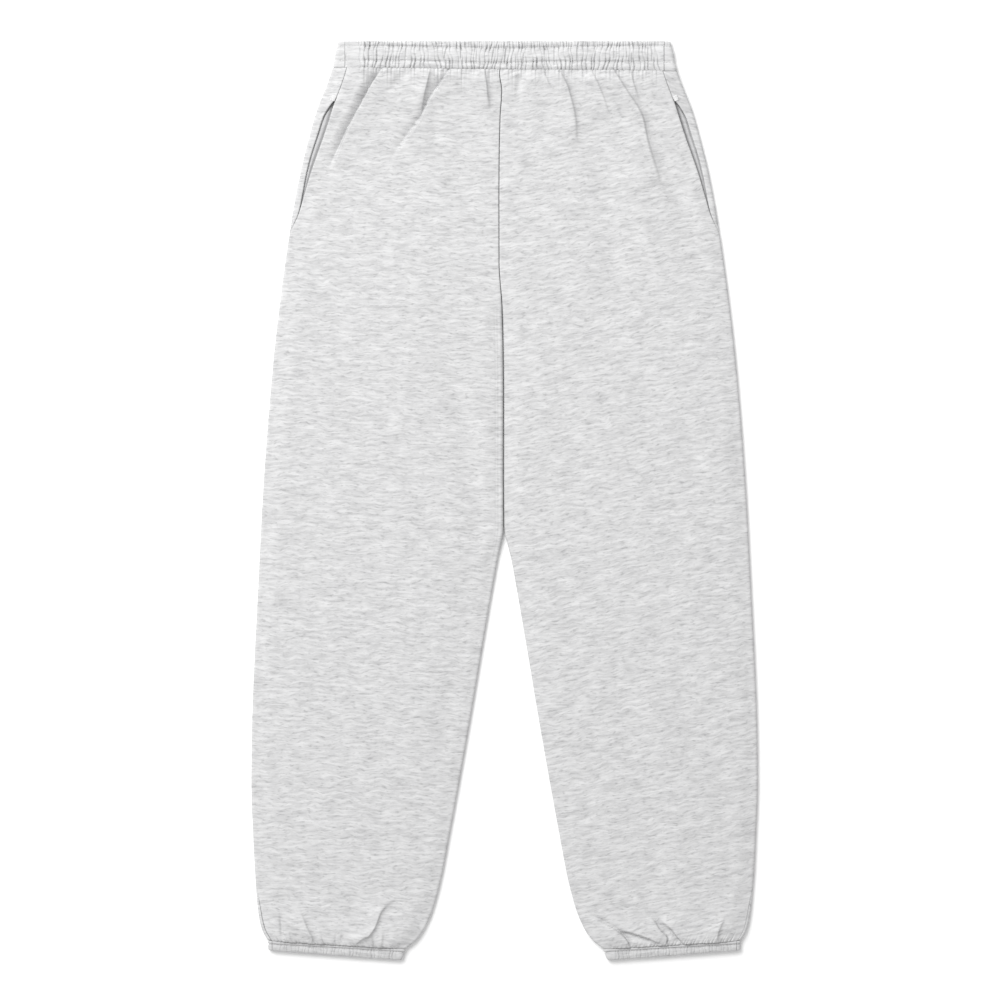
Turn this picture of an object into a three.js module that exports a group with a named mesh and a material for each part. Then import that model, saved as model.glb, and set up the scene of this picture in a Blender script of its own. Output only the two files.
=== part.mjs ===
// Jogger sweatpants laid flat on a surface, front up, as closed walls of brushed fleece.
//
// Millimetres. +Z is up from the surface, +Y runs towards the waist and the middle line is x = 0.
// Left and right are the wearer's, so the right leg lies at -X. A drop is a distance below the waist edge.
//
// Each leg is a flattened tube. Its back panel lies on the surface, turns over at the outer edge and,
// beside the pocket, reaches a little way round on to the front, where the outseam shows. The front panel
// lies on it with a narrow gap. The waistband and both cuffs are casings with a front and a back half.
import * as THREE from "three";

// Driving sizes
const LENGTH = 1029.5; // waist edge to the lowest corner of a cuff
const CLOTH = 2.2; // wall of the fleece
const CASING = 4.2; // waistband: cloth on both sides of an elastic
const CUFF_WALL = 3.4; // cuff: cloth on both sides of a narrower elastic
const FACING_WALL = 1.4; // pocket cloth
const SEAM_GAP = 0.15; // each piece stops this far short of the middle of a seam

const WAIST_DEPTH = { right: 29.5, middle: 32.5, left: 33.8 }; // height of the waistband at its ends and middle
const WAIST_HALF = 194; // from its middle to those ends
const CROTCH_DROP = 287; // where the four leg panels meet
const CLOSING = 40; // each leg closes into its own tube over this distance there
const BAND_SEAM = 179.3; // the waistband's side seams lie this far from the middle
const CUFF_TOP = { outer: 265, outerDrop: 1007.6, inner: 110.6, innerDrop: 1016.8 }; // seam of cuff to leg
const CUFF_DEPTH = { outer: 10.8, inner: 13.2 };
const CUFF_TAPER = { outer: 0.9, inner: 4.3 }; // each end of a cuff draws in by this at its lower edge
const CUFF_SEAM = 4.5; // the outseam runs on down the cuff this far from its outer end

const EDGE_RADIUS = 2.3; // middle of the cloth where a leg turns over at its edge
const CASING_RADIUS = 2.6; // the same at the ends of the waistband
const CUFF_RADIUS = 2.4; // the same at the ends of a cuff
const LOFT = 1.1; // how far the middle of a leg stands above its edges
const EDGE_FADE = 15; // folds and loft die out over this distance from an edge
const WAIST_RISE = 1.2; // the front climbs this much to meet the thicker waistband
const HEM_RISE = 0.9; // and this much to meet a cuff
const RISE_REACH = 26; // over about this distance
const SEAM_GROOVE = { deep: 0.7, wide: 2.6 }; // the front seam sits in a shallow groove

// Half width of the garment at its outer edge, all the way down
const OUTER_EDGE = [
  { drop: 0, half: 186.8 },
  { drop: 37, half: 194.9 },
  { drop: 78, half: 210.6 },
  { drop: 112, half: 220.1 },
  { drop: 146, half: 228.5 },
  { drop: 213, half: 240.8 },
  { drop: 280, half: 250.3 },
  { drop: 347, half: 258.2 },
  { drop: 482, half: 269.4 },
  { drop: 616, half: 276.6 },
  { drop: 750, half: 282.8 },
  { drop: 834, half: 284.0 },
  { drop: 885, half: 282.2 },
  { drop: 952, half: 278.3 },
  { drop: 986, half: 274.2 },
  { drop: 997, half: 271.0 },
  { drop: 1007.6, half: 265.0 },
];

// Distance of each leg's inner edge from the parting line
const INNER_EDGE = [
  { drop: 0, open: 0 },
  { drop: 543, open: 0 },
  { drop: 582, open: 7.6 },
  { drop: 683, open: 25.2 },
  { drop: 750, open: 36.4 },
  { drop: 885, open: 60.5 },
  { drop: 952, open: 73.9 },
  { drop: 986, open: 85.1 },
  { drop: 1006, open: 97.4 },
  { drop: 1016.8, open: 110.6 },
];

// Where the front seam, and below it the parting of the legs, runs beside the middle line
const PARTING_LINE = [
  { drop: 0, x: 1.5 },
  { drop: 37, x: -5.4 },
  { drop: 56, x: -3.0 },
  { drop: 85, x: -4.8 },
  { drop: 246, x: -6.0 },
  { drop: 300, x: -2.6 },
  { drop: 543, x: -0.8 },
  { drop: 582, x: 0 },
  { drop: 1017, x: 0 },
];

// How far the outseam lies from the outer edge, up on the front, and how far the pocket gapes there
const OUTSEAM = [
  { drop: 0, seam: 16.2, gape: 0 },
  { drop: 67, seam: 17.2, gape: 0 },
  { drop: 83, seam: 17.6, gape: 7.6 },
  { drop: 104, seam: 16.6, gape: 7.4 },
  { drop: 125, seam: 14.6, gape: 6.8 },
  { drop: 152, seam: 11.6, gape: 4.3 },
  { drop: 174, seam: 9.4, gape: 1.8 },
  { drop: 197, seam: 6.2, gape: 0 },
  { drop: 209, seam: 2.4, gape: 0 },
  { drop: 219, seam: 0, gape: 0 },
  { drop: 940, seam: 0, gape: 0 },
  { drop: 965, seam: 3, gape: 0 },
  { drop: 1007.6, seam: 4.5, gape: 0 },
];

// Folds of the front. Each runs from one end to the other, bowed sideways, with a height that may be
// negative for a trough. lean says which side is steep: +1 right of its course, -1 left, 0 neither.
const FOLDS = [
  // gathers let out by the waistband, on the wearer's right
  { x0: -138, drop0: 34, x1: -187, drop1: 126, bow: -3, wide: 12, high: 3.0, lean: 1 },
  { x0: -59, drop0: 34, x1: -122, drop1: 128, bow: 9, wide: 12, high: 2.6, lean: 1 },
  { x0: -107, drop0: 39, x1: -130, drop1: 56, bow: 0, wide: 9, high: 1.3, lean: 1 },
  { x0: -55, drop0: 36, x1: -17, drop1: 84, bow: -5, wide: 10, high: 1.7, lean: -1 },
  { x0: -21, drop0: 38, x1: -18, drop1: 72, bow: 0, wide: 6, high: 1.5, lean: -1 },
  // and on the wearer's left
  { x0: 20, drop0: 38, x1: 17, drop1: 64, bow: 0, wide: 6, high: 1.3, lean: 1 },
  { x0: 44, drop0: 38, x1: 50, drop1: 54, bow: 0, wide: 7, high: 1.2, lean: -1 },
  { x0: 62, drop0: 36, x1: 85, drop1: 112, bow: -6, wide: 11, high: 2.4, lean: -1 },
  { x0: 99, drop0: 38, x1: 119, drop1: 88, bow: -3, wide: 10, high: 1.7, lean: -1 },
  { x0: 125, drop0: 38, x1: 173, drop1: 156, bow: -8, wide: 12, high: 3.0, lean: -1 },
  { x0: 146, drop0: 38, x1: 152, drop1: 64, bow: 0, wide: 7, high: 1.4, lean: -1 },
  // long soft troughs of the thighs
  { x0: -50, drop0: 90, x1: -33, drop1: 254, bow: 0, wide: 14, high: -1.0, lean: 0 },
  { x0: -190, drop0: 318, x1: -124, drop1: 362, bow: 0, wide: 18, high: -0.9, lean: 0 },
  { x0: -74, drop0: 318, x1: -33, drop1: 540, bow: -6, wide: 14, high: -1.5, lean: 0 },
  { x0: -33, drop0: 540, x1: -92, drop1: 900, bow: -8, wide: 13, high: -1.3, lean: 0 },
  { x0: 82, drop0: 70, x1: 124, drop1: 312, bow: -14, wide: 17, high: -1.3, lean: 0 },
  { x0: 143, drop0: 70, x1: 246, drop1: 370, bow: -16, wide: 15, high: -1.3, lean: 0 },
  // the inner edge of the right leg stands a little over the left
  { x0: -13, drop0: 300, x1: -12, drop1: 560, bow: 0, wide: 11, high: 1.6, lean: 0 },
  // gathers let out by the right cuff
  { x0: -216, drop0: 1011, x1: -231, drop1: 966, bow: 2, wide: 7, high: 2.1, lean: 1 },
  { x0: -247, drop0: 1006, x1: -251, drop1: 982, bow: 0, wide: 7, high: 1.3, lean: 1 },
  { x0: -235, drop0: 1010, x1: -241, drop1: 994, bow: 0, wide: 6, high: 1.1, lean: 1 },
  { x0: -202, drop0: 1012, x1: -205, drop1: 998, bow: 0, wide: 6, high: 0.9, lean: 1 },
  { x0: -188, drop0: 1012, x1: -176, drop1: 984, bow: 2, wide: 8, high: 1.4, lean: -1 },
  { x0: -167, drop0: 1013, x1: -102, drop1: 953, bow: -10, wide: 11, high: 2.7, lean: 1 },
  { x0: -147, drop0: 1015, x1: -148, drop1: 999, bow: 0, wide: 6, high: 1.0, lean: 1 },
  { x0: -135, drop0: 1016, x1: -135, drop1: 999, bow: 0, wide: 6, high: 0.9, lean: 1 },
  // and by the left cuff
  { x0: 141, drop0: 1016, x1: 104, drop1: 983, bow: 5, wide: 9, high: 2.3, lean: -1 },
  { x0: 169, drop0: 1012, x1: 134, drop1: 998, bow: 2, wide: 7, high: 1.6, lean: -1 },
  { x0: 182, drop0: 1011, x1: 162, drop1: 978, bow: 4, wide: 9, high: 2.0, lean: 1 },
  { x0: 200, drop0: 1012, x1: 186, drop1: 990, bow: 2, wide: 8, high: 1.5, lean: 1 },
  { x0: 226, drop0: 1011, x1: 224, drop1: 1000, bow: 0, wide: 6, high: 0.8, lean: 1 },
  { x0: 237, drop0: 1010, x1: 247, drop1: 986, bow: 2, wide: 8, high: 1.6, lean: -1 },
];
const STEEP_SIDE = 0.5; // width of a fold's steep side, as a share of its own
const GENTLE_SIDE = 1.2; // and of its gentle side
const RIDGE_LOSS = { share: 0.85, power: 1.5 }; // a ridge loses this share of its height by its far end
const TROUGH_RUN = { from: 0.15, to: 0.9 }; // the part of a half wave that a trough follows along its run
const SEAM_HOLD = { share: 0.5, reach: 8 }; // seams at waist and hem hold folds down, out to this distance

// Sewn profile up each casing, as a share of its depth from its lower edge, with what its face swells by
const WAIST_ROWS = [
  { share: 0, swell: -0.5 },
  { share: 0.14, swell: 0.3 },
  { share: 0.28, swell: -0.6 },
  { share: 0.54, swell: 0.5 },
  { share: 0.81, swell: -0.6 },
  { share: 0.91, swell: 0.2 },
  { share: 1, swell: -0.6 },
];
const CUFF_ROWS = [
  { share: 0, swell: -0.5 },
  { share: 0.4, swell: 0.4 },
  { share: 0.74, swell: -0.5 },
  { share: 1, swell: -0.2 },
];
const WAIST_GATHERS = { count: 64, from: -162, to: 171, deep: 0.9 };
const CUFF_GATHERS = { count: 34, from: 7, to: 145, deep: 0.55 };
const UNEVEN_PITCH = 0.32; // a groove strays from its even place by up to this share of the pitch
const UNEVEN_DEPTH = 0.28; // and may be shallower by up to twice this share
const PUFF_SHARE = 0.5; // a puff stands up by this share of its groove's depth

// Mesh density
const PANEL_ROWS = 28;
const FRONT_SPANS = 24; // across the flat of a front panel
const BACK_SPANS = 5; // across the flat of a back panel
const ARC_SPANS = 3; // round a quarter turn at an edge
const RAW_STEP = 0.1; // first step in from a raw edge
const END_CROWDING = 0.55; // rows crowd towards the waistband and the cuffs
const FACING_SPANS = 9; // down a pocket facing
const GATHER_SPANS = 3; // across one gather
const INSIDE_STEP = 9; // the plain inside of a casing keeps one column in this many

const TOP = LENGTH / 2;
const lerp = THREE.MathUtils.lerp;
const clamp = THREE.MathUtils.clamp;
const smooth = (t) => THREE.MathUtils.smoothstep(t, 0, 1);
const steps = (count) => Array.from({ length: count + 1 }, (_, k) => k / count); // 0 to 1 in even steps
const inside = (count) => steps(count).slice(1, -1);
const quarterTurn = (radius) => (radius * Math.PI) / 2;

// A bump of height 1 about a distance of 0.
const bump = (distance, reach) => Math.exp(-((distance / reach) ** 2));

// A number from -1 to 1 for the k-th of a run of things, with no pattern that the eye can see.
const uneven = (k, seed) => 0.6 * Math.sin(2.4 * k + seed) + 0.4 * Math.sin(5.1 * k + 3 * seed);

// A table's column at any drop, along a smooth curve through its rows.
function along(table, column, drop) {
  const last = table.length - 1;
  const d = clamp(drop, table[0].drop, table[last].drop);
  const i = Math.min(last - 1, table.findLastIndex((row) => row.drop <= d));
  const rate = (k) => (table[k + 1][column] - table[k][column]) / (table[k + 1].drop - table[k].drop);
  const tangent = (k) => {
    if (k === 0) return rate(0);
    if (k === last) return rate(last - 1);
    return rate(k - 1) * rate(k) <= 0 ? 0 : (rate(k - 1) + rate(k)) / 2;
  };
  const span = table[i + 1].drop - table[i].drop;
  const t = (d - table[i].drop) / span;
  const from = table[i][column] * (1 + 2 * t) * (1 - t) ** 2 + tangent(i) * span * t * (1 - t) ** 2;
  const to = table[i + 1][column] * t * t * (3 - 2 * t) - tangent(i + 1) * span * t * t * (1 - t);
  return from + to;
}

// Going round a turned-over edge: a is the distance along the cloth from its outermost line, positive on
// the front and negative underneath. dx is how far in that is, dz how far above the middle of the turn.
function turn(a, radius) {
  const quarter = quarterTurn(radius);
  const angle = Math.min(Math.abs(a), quarter) / radius;
  const dx = radius * (1 - Math.cos(angle)) + Math.max(Math.abs(a) - quarter, 0);
  return { dx, dz: Math.sign(a) * radius * Math.sin(angle) };
}

// Height that the folds add at a place on the front.
function foldHeight(x, drop) {
  let height = 0;
  for (const fold of FOLDS) {
    const length = Math.hypot(fold.x1 - fold.x0, fold.drop1 - fold.drop0);
    const ux = (fold.x1 - fold.x0) / length;
    const ud = (fold.drop1 - fold.drop0) / length;
    const run = (x - fold.x0) * ux + (drop - fold.drop0) * ud;
    const t = clamp(run / length, 0, 1);
    const past = run - t * length;
    const aside = (drop - fold.drop0) * ux - (x - fold.x0) * ud - fold.bow * 4 * t * (1 - t);
    const share = fold.lean === 0 ? 1 : aside * fold.lean > 0 ? STEEP_SIDE : GENTLE_SIDE;
    const across = bump(aside, fold.wide * share);
    const ends = bump(past, fold.wide);
    const ridge = 1 - RIDGE_LOSS.share * t ** RIDGE_LOSS.power;
    const trough = Math.sin(Math.PI * lerp(TROUGH_RUN.from, TROUGH_RUN.to, t));
    height += fold.high * across * ends * (fold.high < 0 ? trough : ridge);
  }
  return height;
}

// Height of the waistband at any distance from the middle line.
function waistDepth(x) {
  const end = x < 0 ? WAIST_DEPTH.right : WAIST_DEPTH.left;
  return lerp(WAIST_DEPTH.middle, end, Math.min(Math.abs(x) / WAIST_HALF, 1));
}

// How far each leg has closed into a tube of its own: 0 above the crotch, 1 below.
const closed = (drop) => smooth((drop - CROTCH_DROP) / CLOSING + 0.3);

// Height of the front above a plain flat leg, given the distances to its two edges.
function lift(x, drop, toOuter, toInner) {
  const shut = closed(drop);
  const outer = smooth(toOuter / EDGE_FADE);
  const inner = lerp(1, smooth(toInner / EDGE_FADE), shut);
  const fromWaist = drop - waistDepth(x);
  const fromHem = lerp(CUFF_TOP.outerDrop, CUFF_TOP.innerDrop, toOuter / (toOuter + toInner)) - drop;
  const rise = WAIST_RISE * bump(fromWaist, RISE_REACH) + HEM_RISE * bump(fromHem, RISE_REACH);
  const held = 1 - SEAM_HOLD.share * (bump(fromWaist, SEAM_HOLD.reach) + bump(fromHem, SEAM_HOLD.reach));
  const groove = (1 - shut) * SEAM_GROOVE.deep * bump(toInner, SEAM_GROOVE.wide);
  return rise + outer * inner * (LOFT + held * foldHeight(x, drop)) - groove;
}

// A leg's two edges at a row of its grid: where the middle of the cloth turns over.
function edges(side, row) {
  const share = row / (PANEL_ROWS - 1);
  const even = share - (END_CROWDING * Math.sin(2 * Math.PI * share)) / (2 * Math.PI);
  const waist = side < 0 ? WAIST_DEPTH.right : WAIST_DEPTH.left;
  const outerDrop = lerp(waist + SEAM_GAP, CUFF_TOP.outerDrop - SEAM_GAP, even);
  const innerDrop = lerp(WAIST_DEPTH.middle + SEAM_GAP, CUFF_TOP.innerDrop - SEAM_GAP, even);
  const shut = closed(innerDrop);
  const open = along(INNER_EDGE, "open", innerDrop) + SEAM_GAP + (shut * CLOTH) / 2;
  return {
    side,
    outerDrop,
    innerDrop,
    outerX: side * (along(OUTER_EDGE, "half", outerDrop) - CLOTH / 2),
    innerX: along(PARTING_LINE, "x", innerDrop) + side * open,
    shut,
  };
}

// The point of the middle of the cloth at x, dz above or below the middle of the turn.
function legPoint(edge, x, dz) {
  const t = (x - edge.outerX) / (edge.innerX - edge.outerX);
  const drop = lerp(edge.outerDrop, edge.innerDrop, t);
  const raised = lift(x, drop, Math.abs(x - edge.outerX), Math.abs(x - edge.innerX));
  const upper = Math.max(dz, 0) / EDGE_RADIUS;
  return new THREE.Vector3(x, TOP - drop, CLOTH / 2 + EDGE_RADIUS + dz + raised * upper);
}

// The same, but a place round one of the leg's edges, by distance along the cloth.
function fromOuter(edge, a) {
  const { dx, dz } = turn(a, EDGE_RADIUS);
  return legPoint(edge, edge.outerX - edge.side * dx, dz);
}

// Above the crotch the panels are flat up to the seam, and below it they turn over there.
function fromInner(edge, a) {
  const { dx, dz } = turn(a, EDGE_RADIUS);
  const x = edge.innerX + edge.side * lerp(Math.abs(a), dx, edge.shut);
  return legPoint(edge, x, lerp(Math.sign(a) * EDGE_RADIUS, dz, edge.shut));
}

// Points level with each other across the flat of a panel, between its two turned edges.
function acrossFlat(edge, from, to, spans, dz) {
  return inside(spans).map((t) => legPoint(edge, lerp(from.x, to.x, t), dz));
}

// Distances from a raw edge at one distance to another, by even steps after a short first one, which
// keeps the end of the wall square to its cloth.
function fromRawEdge(edge, to, spans) {
  const first = edge + Math.sign(to - edge) * RAW_STEP;
  return [edge, first, ...steps(spans).slice(1).map((t) => lerp(edge, to, t))];
}

// One row of a front panel, from the outseam across to the front seam or the inseam.
function frontRow(side, row) {
  const edge = edges(side, row);
  const seam = along(OUTSEAM, "seam", edge.outerDrop) + SEAM_GAP;
  const quarter = quarterTurn(EDGE_RADIUS);
  const outer = fromRawEdge(seam, seam + quarter, ARC_SPANS).map((a) => fromOuter(edge, a));
  const inner = fromRawEdge(SEAM_GAP, quarter, ARC_SPANS).map((a) => fromInner(edge, a)).reverse();
  return [...outer, ...acrossFlat(edge, outer.at(-1), inner[0], FRONT_SPANS, EDGE_RADIUS), ...inner];
}

// One row of a back panel: round from the front, under the outer edge, across, and up to the inseam.
function backRow(side, row) {
  const edge = edges(side, row);
  const quarter = quarterTurn(EDGE_RADIUS);
  const lip = along(OUTSEAM, "seam", edge.outerDrop) - along(OUTSEAM, "gape", edge.outerDrop) - SEAM_GAP;
  const over = Math.min(lip - 2 * RAW_STEP, quarter);
  const round = [lip, lip - RAW_STEP, ...steps(2 * ARC_SPANS).map((t) => lerp(over, -quarter, t))];
  const outer = round.map((a) => fromOuter(edge, a));
  const inner = fromRawEdge(-SEAM_GAP, -quarter, ARC_SPANS).map((a) => fromInner(edge, a)).reverse();
  return [...outer, ...acrossFlat(edge, outer.at(-1), inner[0], BACK_SPANS, -EDGE_RADIUS), ...inner];
}

// Joins two runs of vertices with a strip of triangles, whatever their counts.
function zip(a, b, triangles) {
  let i = 0;
  let j = 0;
  while (i < a.length - 1 || j < b.length - 1) {
    const nextA = i < a.length - 1 ? (i + 1) / (a.length - 1) : Infinity;
    const nextB = j < b.length - 1 ? (j + 1) / (b.length - 1) : Infinity;
    if (nextA <= nextB) triangles.push([a[i], a[++i], b[j]]);
    else triangles.push([a[i], b[j + 1], b[j++]]);
  }
}

// Direction of a run of points at its k-th one. The nearer neighbour counts for more.
function heading(points, k) {
  if (k === 0) return points[1].clone().sub(points[0]);
  const behind = points[k].clone().sub(points[k - 1]);
  if (k === points.length - 1) return behind;
  const ahead = points[k + 1].clone().sub(points[k]);
  const share = behind.length() / ahead.length();
  return behind.divideScalar(share).addScaledVector(ahead, share);
}

// A closed wall about a grid of points. facing is +1 where its outside looks up, and -1 where it looks
// down. outer and inner give the thickness on each side of the grid. The inside may be plainer: it keeps
// only the rows and columns that keep.row and keep.column say.
function wall(grid, facing, outer, inner, keep = { row: () => true, column: () => true }) {
  const rows = grid.length;
  const columns = grid[0].length;
  const crossAt = (i, j) => {
    const across = heading(grid[i], j);
    const down = heading(grid.map((line) => line[j]), i);
    const cross = across.cross(down);
    if (i === 0 || i === rows - 1) cross.setY(0); // the wall ends square along a seam
    return cross.normalize();
  };
  const flip = Math.sign(crossAt(rows >> 1, columns >> 1).z) * facing;
  const positions = [];
  const add = (i, j, distance) => {
    positions.push(...grid[i][j].clone().addScaledVector(crossAt(i, j), flip * distance).toArray());
    return positions.length / 3 - 1;
  };
  const kept = (count, test) => [...Array(count).keys()].filter(test);
  const outside = grid.map((line, i) => line.map((_, j) => add(i, j, outer(i, j))));
  const keptColumns = kept(columns, keep.column);
  const within = kept(rows, keep.row).map((i) => keptColumns.map((j) => add(i, j, -inner(i, j))));

  const triangles = [];
  for (let i = 0; i + 1 < outside.length; i++) zip(outside[i], outside[i + 1], triangles);
  for (let i = 0; i + 1 < within.length; i++) zip(within[i + 1], within[i], triangles);
  const column = (surface, j) => surface.map((line) => line.at(j));
  zip(within[0], outside[0], triangles);
  zip(outside.at(-1), within.at(-1), triangles);
  zip(column(outside, 0), column(within, 0), triangles);
  zip(column(within, -1), column(outside, -1), triangles);

  const geometry = new THREE.BufferGeometry();
  geometry.setAttribute("position", new THREE.BufferAttribute(new Float32Array(positions), 3));
  geometry.setIndex(triangles.flatMap(([a, b, c]) => (flip > 0 ? [a, b, c] : [a, c, b])));
  geometry.computeVertexNormals();
  return geometry;
}

const half = (thickness) => () => thickness / 2;
const rowNumbers = [...Array(PANEL_ROWS).keys()];

function frontPanel(side) {
  return wall(rowNumbers.map((row) => frontRow(side, row)), 1, half(CLOTH), half(CLOTH));
}

function backPanel(side) {
  return wall(rowNumbers.map((row) => backRow(side, row)), -1, half(CLOTH), half(CLOTH));
}

// The strip of pocket cloth that shows in the gape, between the layers of the leg.
function pocketFacing(side) {
  const start = 62;
  const end = 203;
  const tuck = 5.6; // from the outer edge of the garment
  const under = 14; // beyond the front's edge
  const level = CLOTH / 2 + EDGE_RADIUS;
  const grid = steps(FACING_SPANS).map((t) => {
    const drop = lerp(start, end, t);
    const outer = along(OUTER_EDGE, "half", drop);
    const reach = along(OUTSEAM, "seam", drop) + under;
    const across = [tuck, (tuck + reach) / 2, reach];
    return across.map((d) => new THREE.Vector3(side * (outer - d), TOP - drop, level));
  });
  return wall(grid, 1, half(FACING_WALL), half(FACING_WALL));
}

// Grooves between the puffs of a gathered casing, unevenly spaced and unevenly deep.
function gatherColumns({ count, from, to, deep }) {
  const pitch = (to - from) / count;
  const grooves = Array.from({ length: count + 1 }, (_, k) => {
    const sway = k === 0 || k === count ? 0 : UNEVEN_PITCH * uneven(k, 1);
    return { at: from + pitch * (k + sway), swell: -deep * (1 - UNEVEN_DEPTH * (1 + uneven(k, 2))) };
  });
  return grooves.flatMap((groove, k) => {
    if (k === count) return [groove];
    const swell = -PUFF_SHARE * groove.swell;
    const puff = inside(GATHER_SPANS).map((t) => ({ at: lerp(groove.at, grooves[k + 1].at, t), swell }));
    return [groove, ...puff];
  });
}

// A casing seen from above, in two runs of numbers: s along it, and the share of its depth from its lower
// edge up. ends gives where its cloth turns over, seams how far from there each side seam lies.
const waistband = {
  thickness: CASING,
  radius: CASING_RADIUS,
  rows: WAIST_ROWS,
  gathers: WAIST_GATHERS,
  ends(share) {
    const reach = (depth) => along(OUTER_EDGE, "half", depth * (1 - share)) - CASING / 2;
    return { start: -reach(WAIST_DEPTH.right), finish: reach(WAIST_DEPTH.left) };
  },
  seams(share) {
    const { start, finish } = this.ends(share);
    const inset = CASING / 2 - BAND_SEAM;
    return { start: inset - start, finish: inset + finish };
  },
  place: (s, share) => [s, TOP - (1 - share) * (waistDepth(s) - SEAM_GAP)],
};

function cuff(side) {
  const outer = new THREE.Vector2(side * CUFF_TOP.outer, TOP - CUFF_TOP.outerDrop);
  const inner = new THREE.Vector2(side * CUFF_TOP.inner, TOP - CUFF_TOP.innerDrop);
  const length = inner.distanceTo(outer);
  const course = inner.clone().sub(outer).divideScalar(length);
  const down = new THREE.Vector2(-side * course.y, side * course.x);
  return {
    thickness: CUFF_WALL,
    radius: CUFF_RADIUS,
    rows: CUFF_ROWS,
    gathers: CUFF_GATHERS,
    ends: (share) => ({
      start: CUFF_WALL / 2 + CUFF_TAPER.outer * (1 - share),
      finish: length - CUFF_WALL / 2 - CUFF_TAPER.inner * (1 - share),
    }),
    seams: () => ({ start: CUFF_SEAM, finish: 0 }),
    place(s, share) {
      const depth = lerp(CUFF_DEPTH.outer, CUFF_DEPTH.inner, s / length);
      const below = SEAM_GAP + (1 - share) * (depth - SEAM_GAP);
      return [outer.x + course.x * s + down.x * below, outer.y + course.y * s + down.y * below];
    },
  };
}

// Distances round a turned-over end, from a side seam to the flat. On the front they stop on top, and on
// the back they go on under the end.
function endRun(seam, radius, isFront) {
  const quarter = quarterTurn(radius);
  if (isFront && seam > quarter) return [seam + SEAM_GAP];
  if (isFront) return fromRawEdge(seam + SEAM_GAP, quarter, ARC_SPANS);
  if (seam <= quarter) return fromRawEdge(seam - SEAM_GAP, -quarter, ARC_SPANS);
  return [seam - SEAM_GAP, ...steps(2 * ARC_SPANS).map((t) => lerp(quarter, -quarter, t))];
}

// The half of a casing that lies up, gathered, or the half that lies down, which is plain.
function casingHalf(casing, isFront) {
  const { thickness, radius, rows, gathers } = casing;
  const plain = steps(BACK_SPANS).map((t) => ({ at: lerp(gathers.from, gathers.to, t), swell: 0 }));
  const flat = isFront ? gatherColumns(gathers) : plain;
  const lines = isFront ? rows : [rows[0], rows.at(-1)];
  const point = (s, share, dz) => new THREE.Vector3(...casing.place(s, share), thickness / 2 + radius + dz);
  const grid = lines.map(({ share }) => {
    const { start, finish } = casing.ends(share);
    const seams = casing.seams(share);
    const round = (a) => turn(a, radius);
    const first = endRun(seams.start, radius, isFront).map(round);
    const last = endRun(seams.finish, radius, isFront).map(round).reverse();
    return [
      ...first.map(({ dx, dz }) => point(start + dx, share, dz)),
      ...flat.map(({ at }) => point(at, share, isFront ? radius : -radius)),
      ...last.map(({ dx, dz }) => point(finish - dx, share, dz)),
    ];
  });
  if (!isFront) return wall(grid, -1, half(thickness), half(thickness));
  const before = endRun(casing.seams(0).start, radius, isFront).length;
  const swell = (i, j) => rows[i].swell + (flat[j - before]?.swell ?? 0);
  const plainInside = {
    row: (i) => i === 0 || i === rows.length - 1,
    column: (j) => j <= before || j >= before + flat.length - 1 || j % INSIDE_STEP === 0,
  };
  return wall(grid, 1, (i, j) => thickness / 2 + swell(i, j), half(thickness), plainInside);
}

function cloth(name, color, roughness) {
  return new THREE.MeshStandardMaterial({ name, color, roughness, metalness: 0 });
}

const fleece = cloth("heather grey fleece", "#dededf", 0.97);
const casingCloth = cloth("gathered fleece", "#d9d9da", 0.97);
const pocketCloth = cloth("pocket cloth", "#d2d2d4", 0.98);

const joggers = new THREE.Group();
joggers.name = "joggers";

function addPiece(name, geometry, material) {
  const piece = new THREE.Mesh(geometry, material);
  piece.name = name;
  joggers.add(piece);
}

addPiece("waistband_front", casingHalf(waistband, true), casingCloth);
addPiece("waistband_back", casingHalf(waistband, false), casingCloth);
for (const [leg, side] of [["right", -1], ["left", 1]]) {
  addPiece(`front_panel_${leg}`, frontPanel(side), fleece);
  addPiece(`back_panel_${leg}`, backPanel(side), fleece);
  addPiece(`pocket_facing_${leg}`, pocketFacing(side), pocketCloth);
  addPiece(`cuff_front_${leg}`, casingHalf(cuff(side), true), casingCloth);
  addPiece(`cuff_back_${leg}`, casingHalf(cuff(side), false), casingCloth);
}

export default joggers;
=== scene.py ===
# %% [markdown]
# These are jogger sweatpants in light heather grey fleece, lying flat with the front up. Twelve
# pieces of cloth make them: two front panels, two back panels, a waistband and two cuffs in a
# front and a back half, and the strip of pocket cloth that shows in each pocket mouth. The
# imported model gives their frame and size. Each piece is made again here as a thin closed wall
# of numpy points, much finer than its solid, so that it can carry creases, gathers and rolled
# seam edges. Sizes are in millimetres until a mesh is made.

import math

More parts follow.
